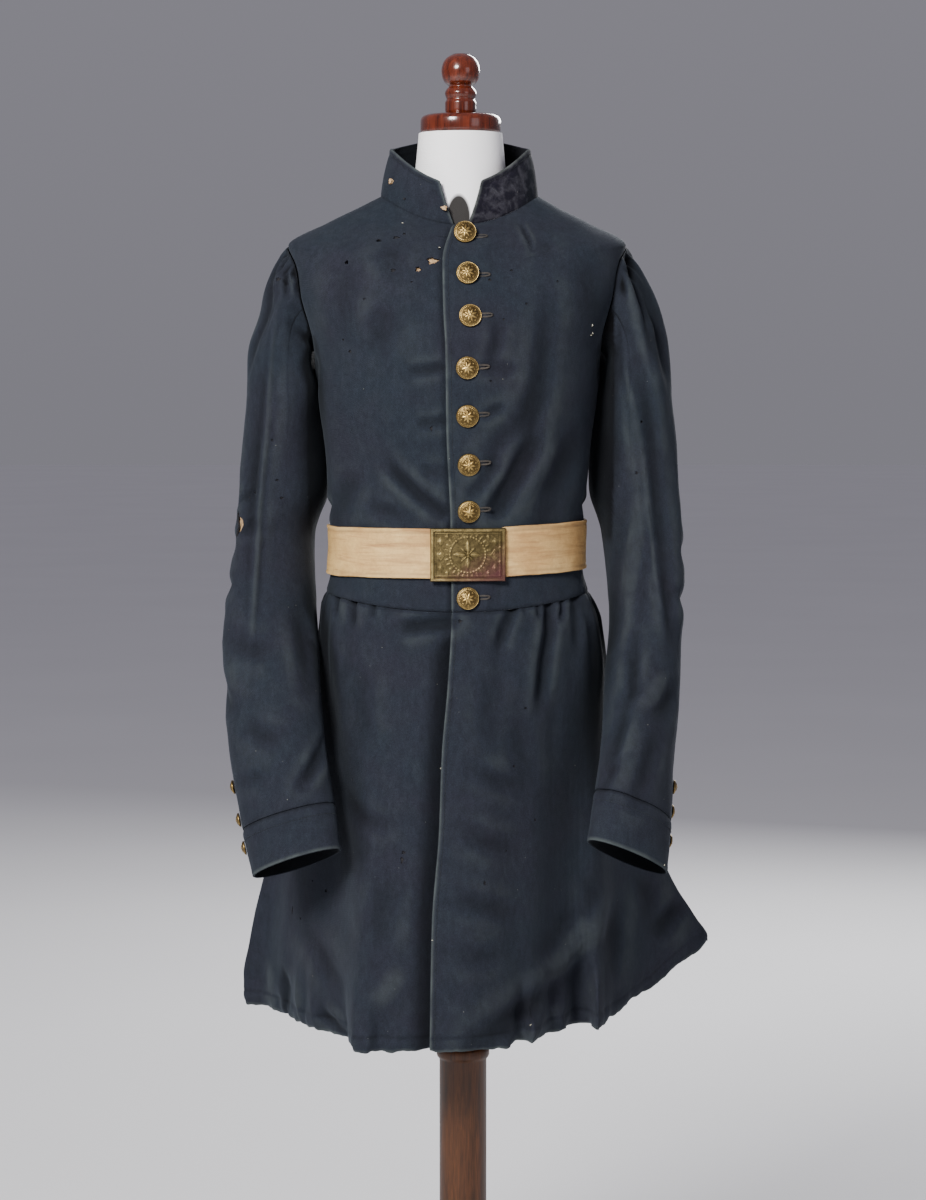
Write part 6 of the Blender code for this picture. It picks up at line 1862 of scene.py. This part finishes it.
def fine_form():
    angle = np.arange(0, 360, 360 / 120)
    level = np.linspace(0, 13, 70)
    grid_angle, grid_level = np.meshgrid(angle, level)
    out = facing(body, grid_angle, grid_level)
    rings = list(body(grid_angle, grid_level) - out * form_inset(grid_angle, grid_level)[..., None])
    lowest = rings[0]
    for share, drop in ((0.985, 0.35), (0.95, 0.8), (FORM_BOTTOM_SHARE, 1.0)):
        ring_low = lowest * np.array([share, share, 0])
        ring_low[:, 2] = lowest[:, 2] + (FORM_BOTTOM - lowest[:, 2]) * drop
        rings.insert(0, ring_low)
    across = np.stack([np.sin(np.radians(angle)), -np.cos(np.radians(angle)), 0 * angle], -1)
    neck = smooth(NECK)
    for height in np.linspace(NECK[0][0], NECK[-1][0], 26):
        radius = float(neck(height))
        rings.append(across * radius + np.array([NECK_X, 0, height]))
    points = np.concatenate(rings)
    count = len(angle)
    faces = grid_faces(len(rings), count, 0, True)
    faces.append(list(range(count)))
    faces.append(list(range(len(points) - count, len(points))))
    made = add_mesh("dress_form_cover", points, faces, COTTON)
    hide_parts("dress_form")


def turned_fine(name, node, profile, x, y, material, segments=96, round_by=1.2):
    """A turned piece with its corners eased."""
    eased = [profile[0]]
    for before, here, after in zip(profile[:-2], profile[1:-1], profile[2:]):
        for other in (before, after):
            length = math.hypot(other[0] - here[0], other[1] - here[1])
            t = min(0.45, round_by / length)
            eased.append((here[0] + (other[0] - here[0]) * t, here[1] + (other[1] - here[1]) * t))
    eased.append(profile[-1])
    turn = np.radians(np.arange(segments) * 360 / segments)
    points = [(x + r * math.cos(t), y + r * math.sin(t), z) for z, r in eased for t in turn]
    faces = grid_faces(len(eased), segments, 0, True)
    faces.append(list(range(segments)))
    faces.append(list(range(len(points) - segments, len(points))))
    made = add_mesh(name, points, faces, material, 55)
    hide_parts(node)
    return made


def profile_curve(profile, steps):
    """More points along a profile's smooth curve."""
    z = np.array([row[0] for row in profile], float)
    r = smooth(profile)
    places = np.linspace(z[0], z[-1], steps)
    return [(float(p), float(r(p))) for p in places]


def stand():
    turned_fine("neck_cap_turned", "neck_cap", CAP, NECK_X, 0, MAHOGANY)
    turned_fine("finial_turned", "finial", profile_curve(FINIAL, 50), NECK_X, 0, MAHOGANY, round_by=0.2)
    turned_fine("pole_turned", "pole", POLE, 0, 0, BROWN_WOOD)
    turned_fine("base_turned", "base", BASE, 0, 0, BROWN_WOOD, 144, 4.0)


def room():
    """A wide pale floor, even pale surroundings and one large soft light, and the camera."""
    floor = bpy.data.meshes.new("floor")
    half = 40.0
    corners = [(-half, -half, 0), (half, -half, 0), (half, half, 0), (-half, half, 0)]
    floor.from_pydata(corners, [], [(0, 1, 2, 3)])
    floor_object = linked("floor", floor)
    finish = Finish("pale_floor", Specular_IOR_Level=0.0)
    fine = finish.noise(900, 2, 0.5)
    pale = finish.ramp(fine, (0.3, (0.69, 0.69, 0.70)), (0.7, (0.71, 0.71, 0.72)))
    floor.materials.append(finish.done(pale, 1.0))
    world = bpy.data.worlds.new("studio")
    world.use_nodes = True
    nodes, links = world.node_tree.nodes, world.node_tree.links
    parts = nodes.new("ShaderNodeSeparateXYZ")
    links.new(nodes.new("ShaderNodeTexCoord").outputs["Generated"], parts.inputs[0])
    sky = nodes.new("ShaderNodeValToRGB")
    links.new(parts.outputs["Z"], sky.inputs["Fac"])
    for element, (place, colour) in zip(sky.color_ramp.elements, SKY):
        element.position = place
        element.color = (*colour, 1)
    links.new(sky.outputs["Color"], nodes["Background"].inputs["Color"])
    nodes["Background"].inputs["Strength"].default_value = 1.0
    bpy.context.scene.world = world
    for name, place, aim, size, power, colour in LIGHTS:
        lamp = bpy.data.lights.new(name, "AREA")
        lamp.shape = "RECTANGLE"
        lamp.size, lamp.size_y = size
        lamp.energy = power
        lamp.color = colour
        holder = linked(name, lamp)
        holder.location = place
        holder.rotation_euler = (Vector(aim) - Vector(place)).to_track_quat("-Z", "Y").to_euler()
    lens = bpy.data.cameras.new("camera")
    lens.sensor_fit = "AUTO"
    lens.sensor_width = 36.0
    lens.lens = CAMERA_LENS
    lens.clip_end = 200.0
    camera = linked("camera", lens)
    camera.location = CAMERA_PLACE
    camera.rotation_euler = (math.radians(90 - CAMERA_DOWN), 0, 0)
    bpy.context.scene.camera = camera


# The camera: focal length on a 36 mm sensor, place in metres, and degrees that it looks down
CAMERA_LENS, CAMERA_PLACE, CAMERA_DOWN = 93.0, (0, -3.255, 1.180), 4.06
# Light of the surroundings from the horizon, 0, up to straight overhead, 1
SKY = ((0.0, (0.215, 0.210, 0.240)), (1.0, (0.36, 0.345, 0.40)))
# name, place, aim, (width, height), power in watts, colour
LIGHTS = (
    ("key", (-1.5, -3.3, 2.9), (0, 0, 1.0), (1.1, 1.1), 330, (1.0, 0.99, 0.965)),
    ("fill", (2.4, -2.6, 1.6), (0, 0, 1.0), (1.4, 1.8), 14, (0.95, 0.93, 1.0)),
    ("back", (1.4, 3.6, 2.6), (0, 0, 1.0), (1.8, 1.6), 170, (1.0, 1.0, 1.0)),
)


def main():
    room()
    fronts()
    side_bodies()
    backs()
    collars()
    sleeves()
    skirts()
    linings()
    buttonholes()
    loose_threads()
    fine_buttons()
    fine_belt()
    fine_plate()
    fine_form()
    stand()
    contact_shade()


main()
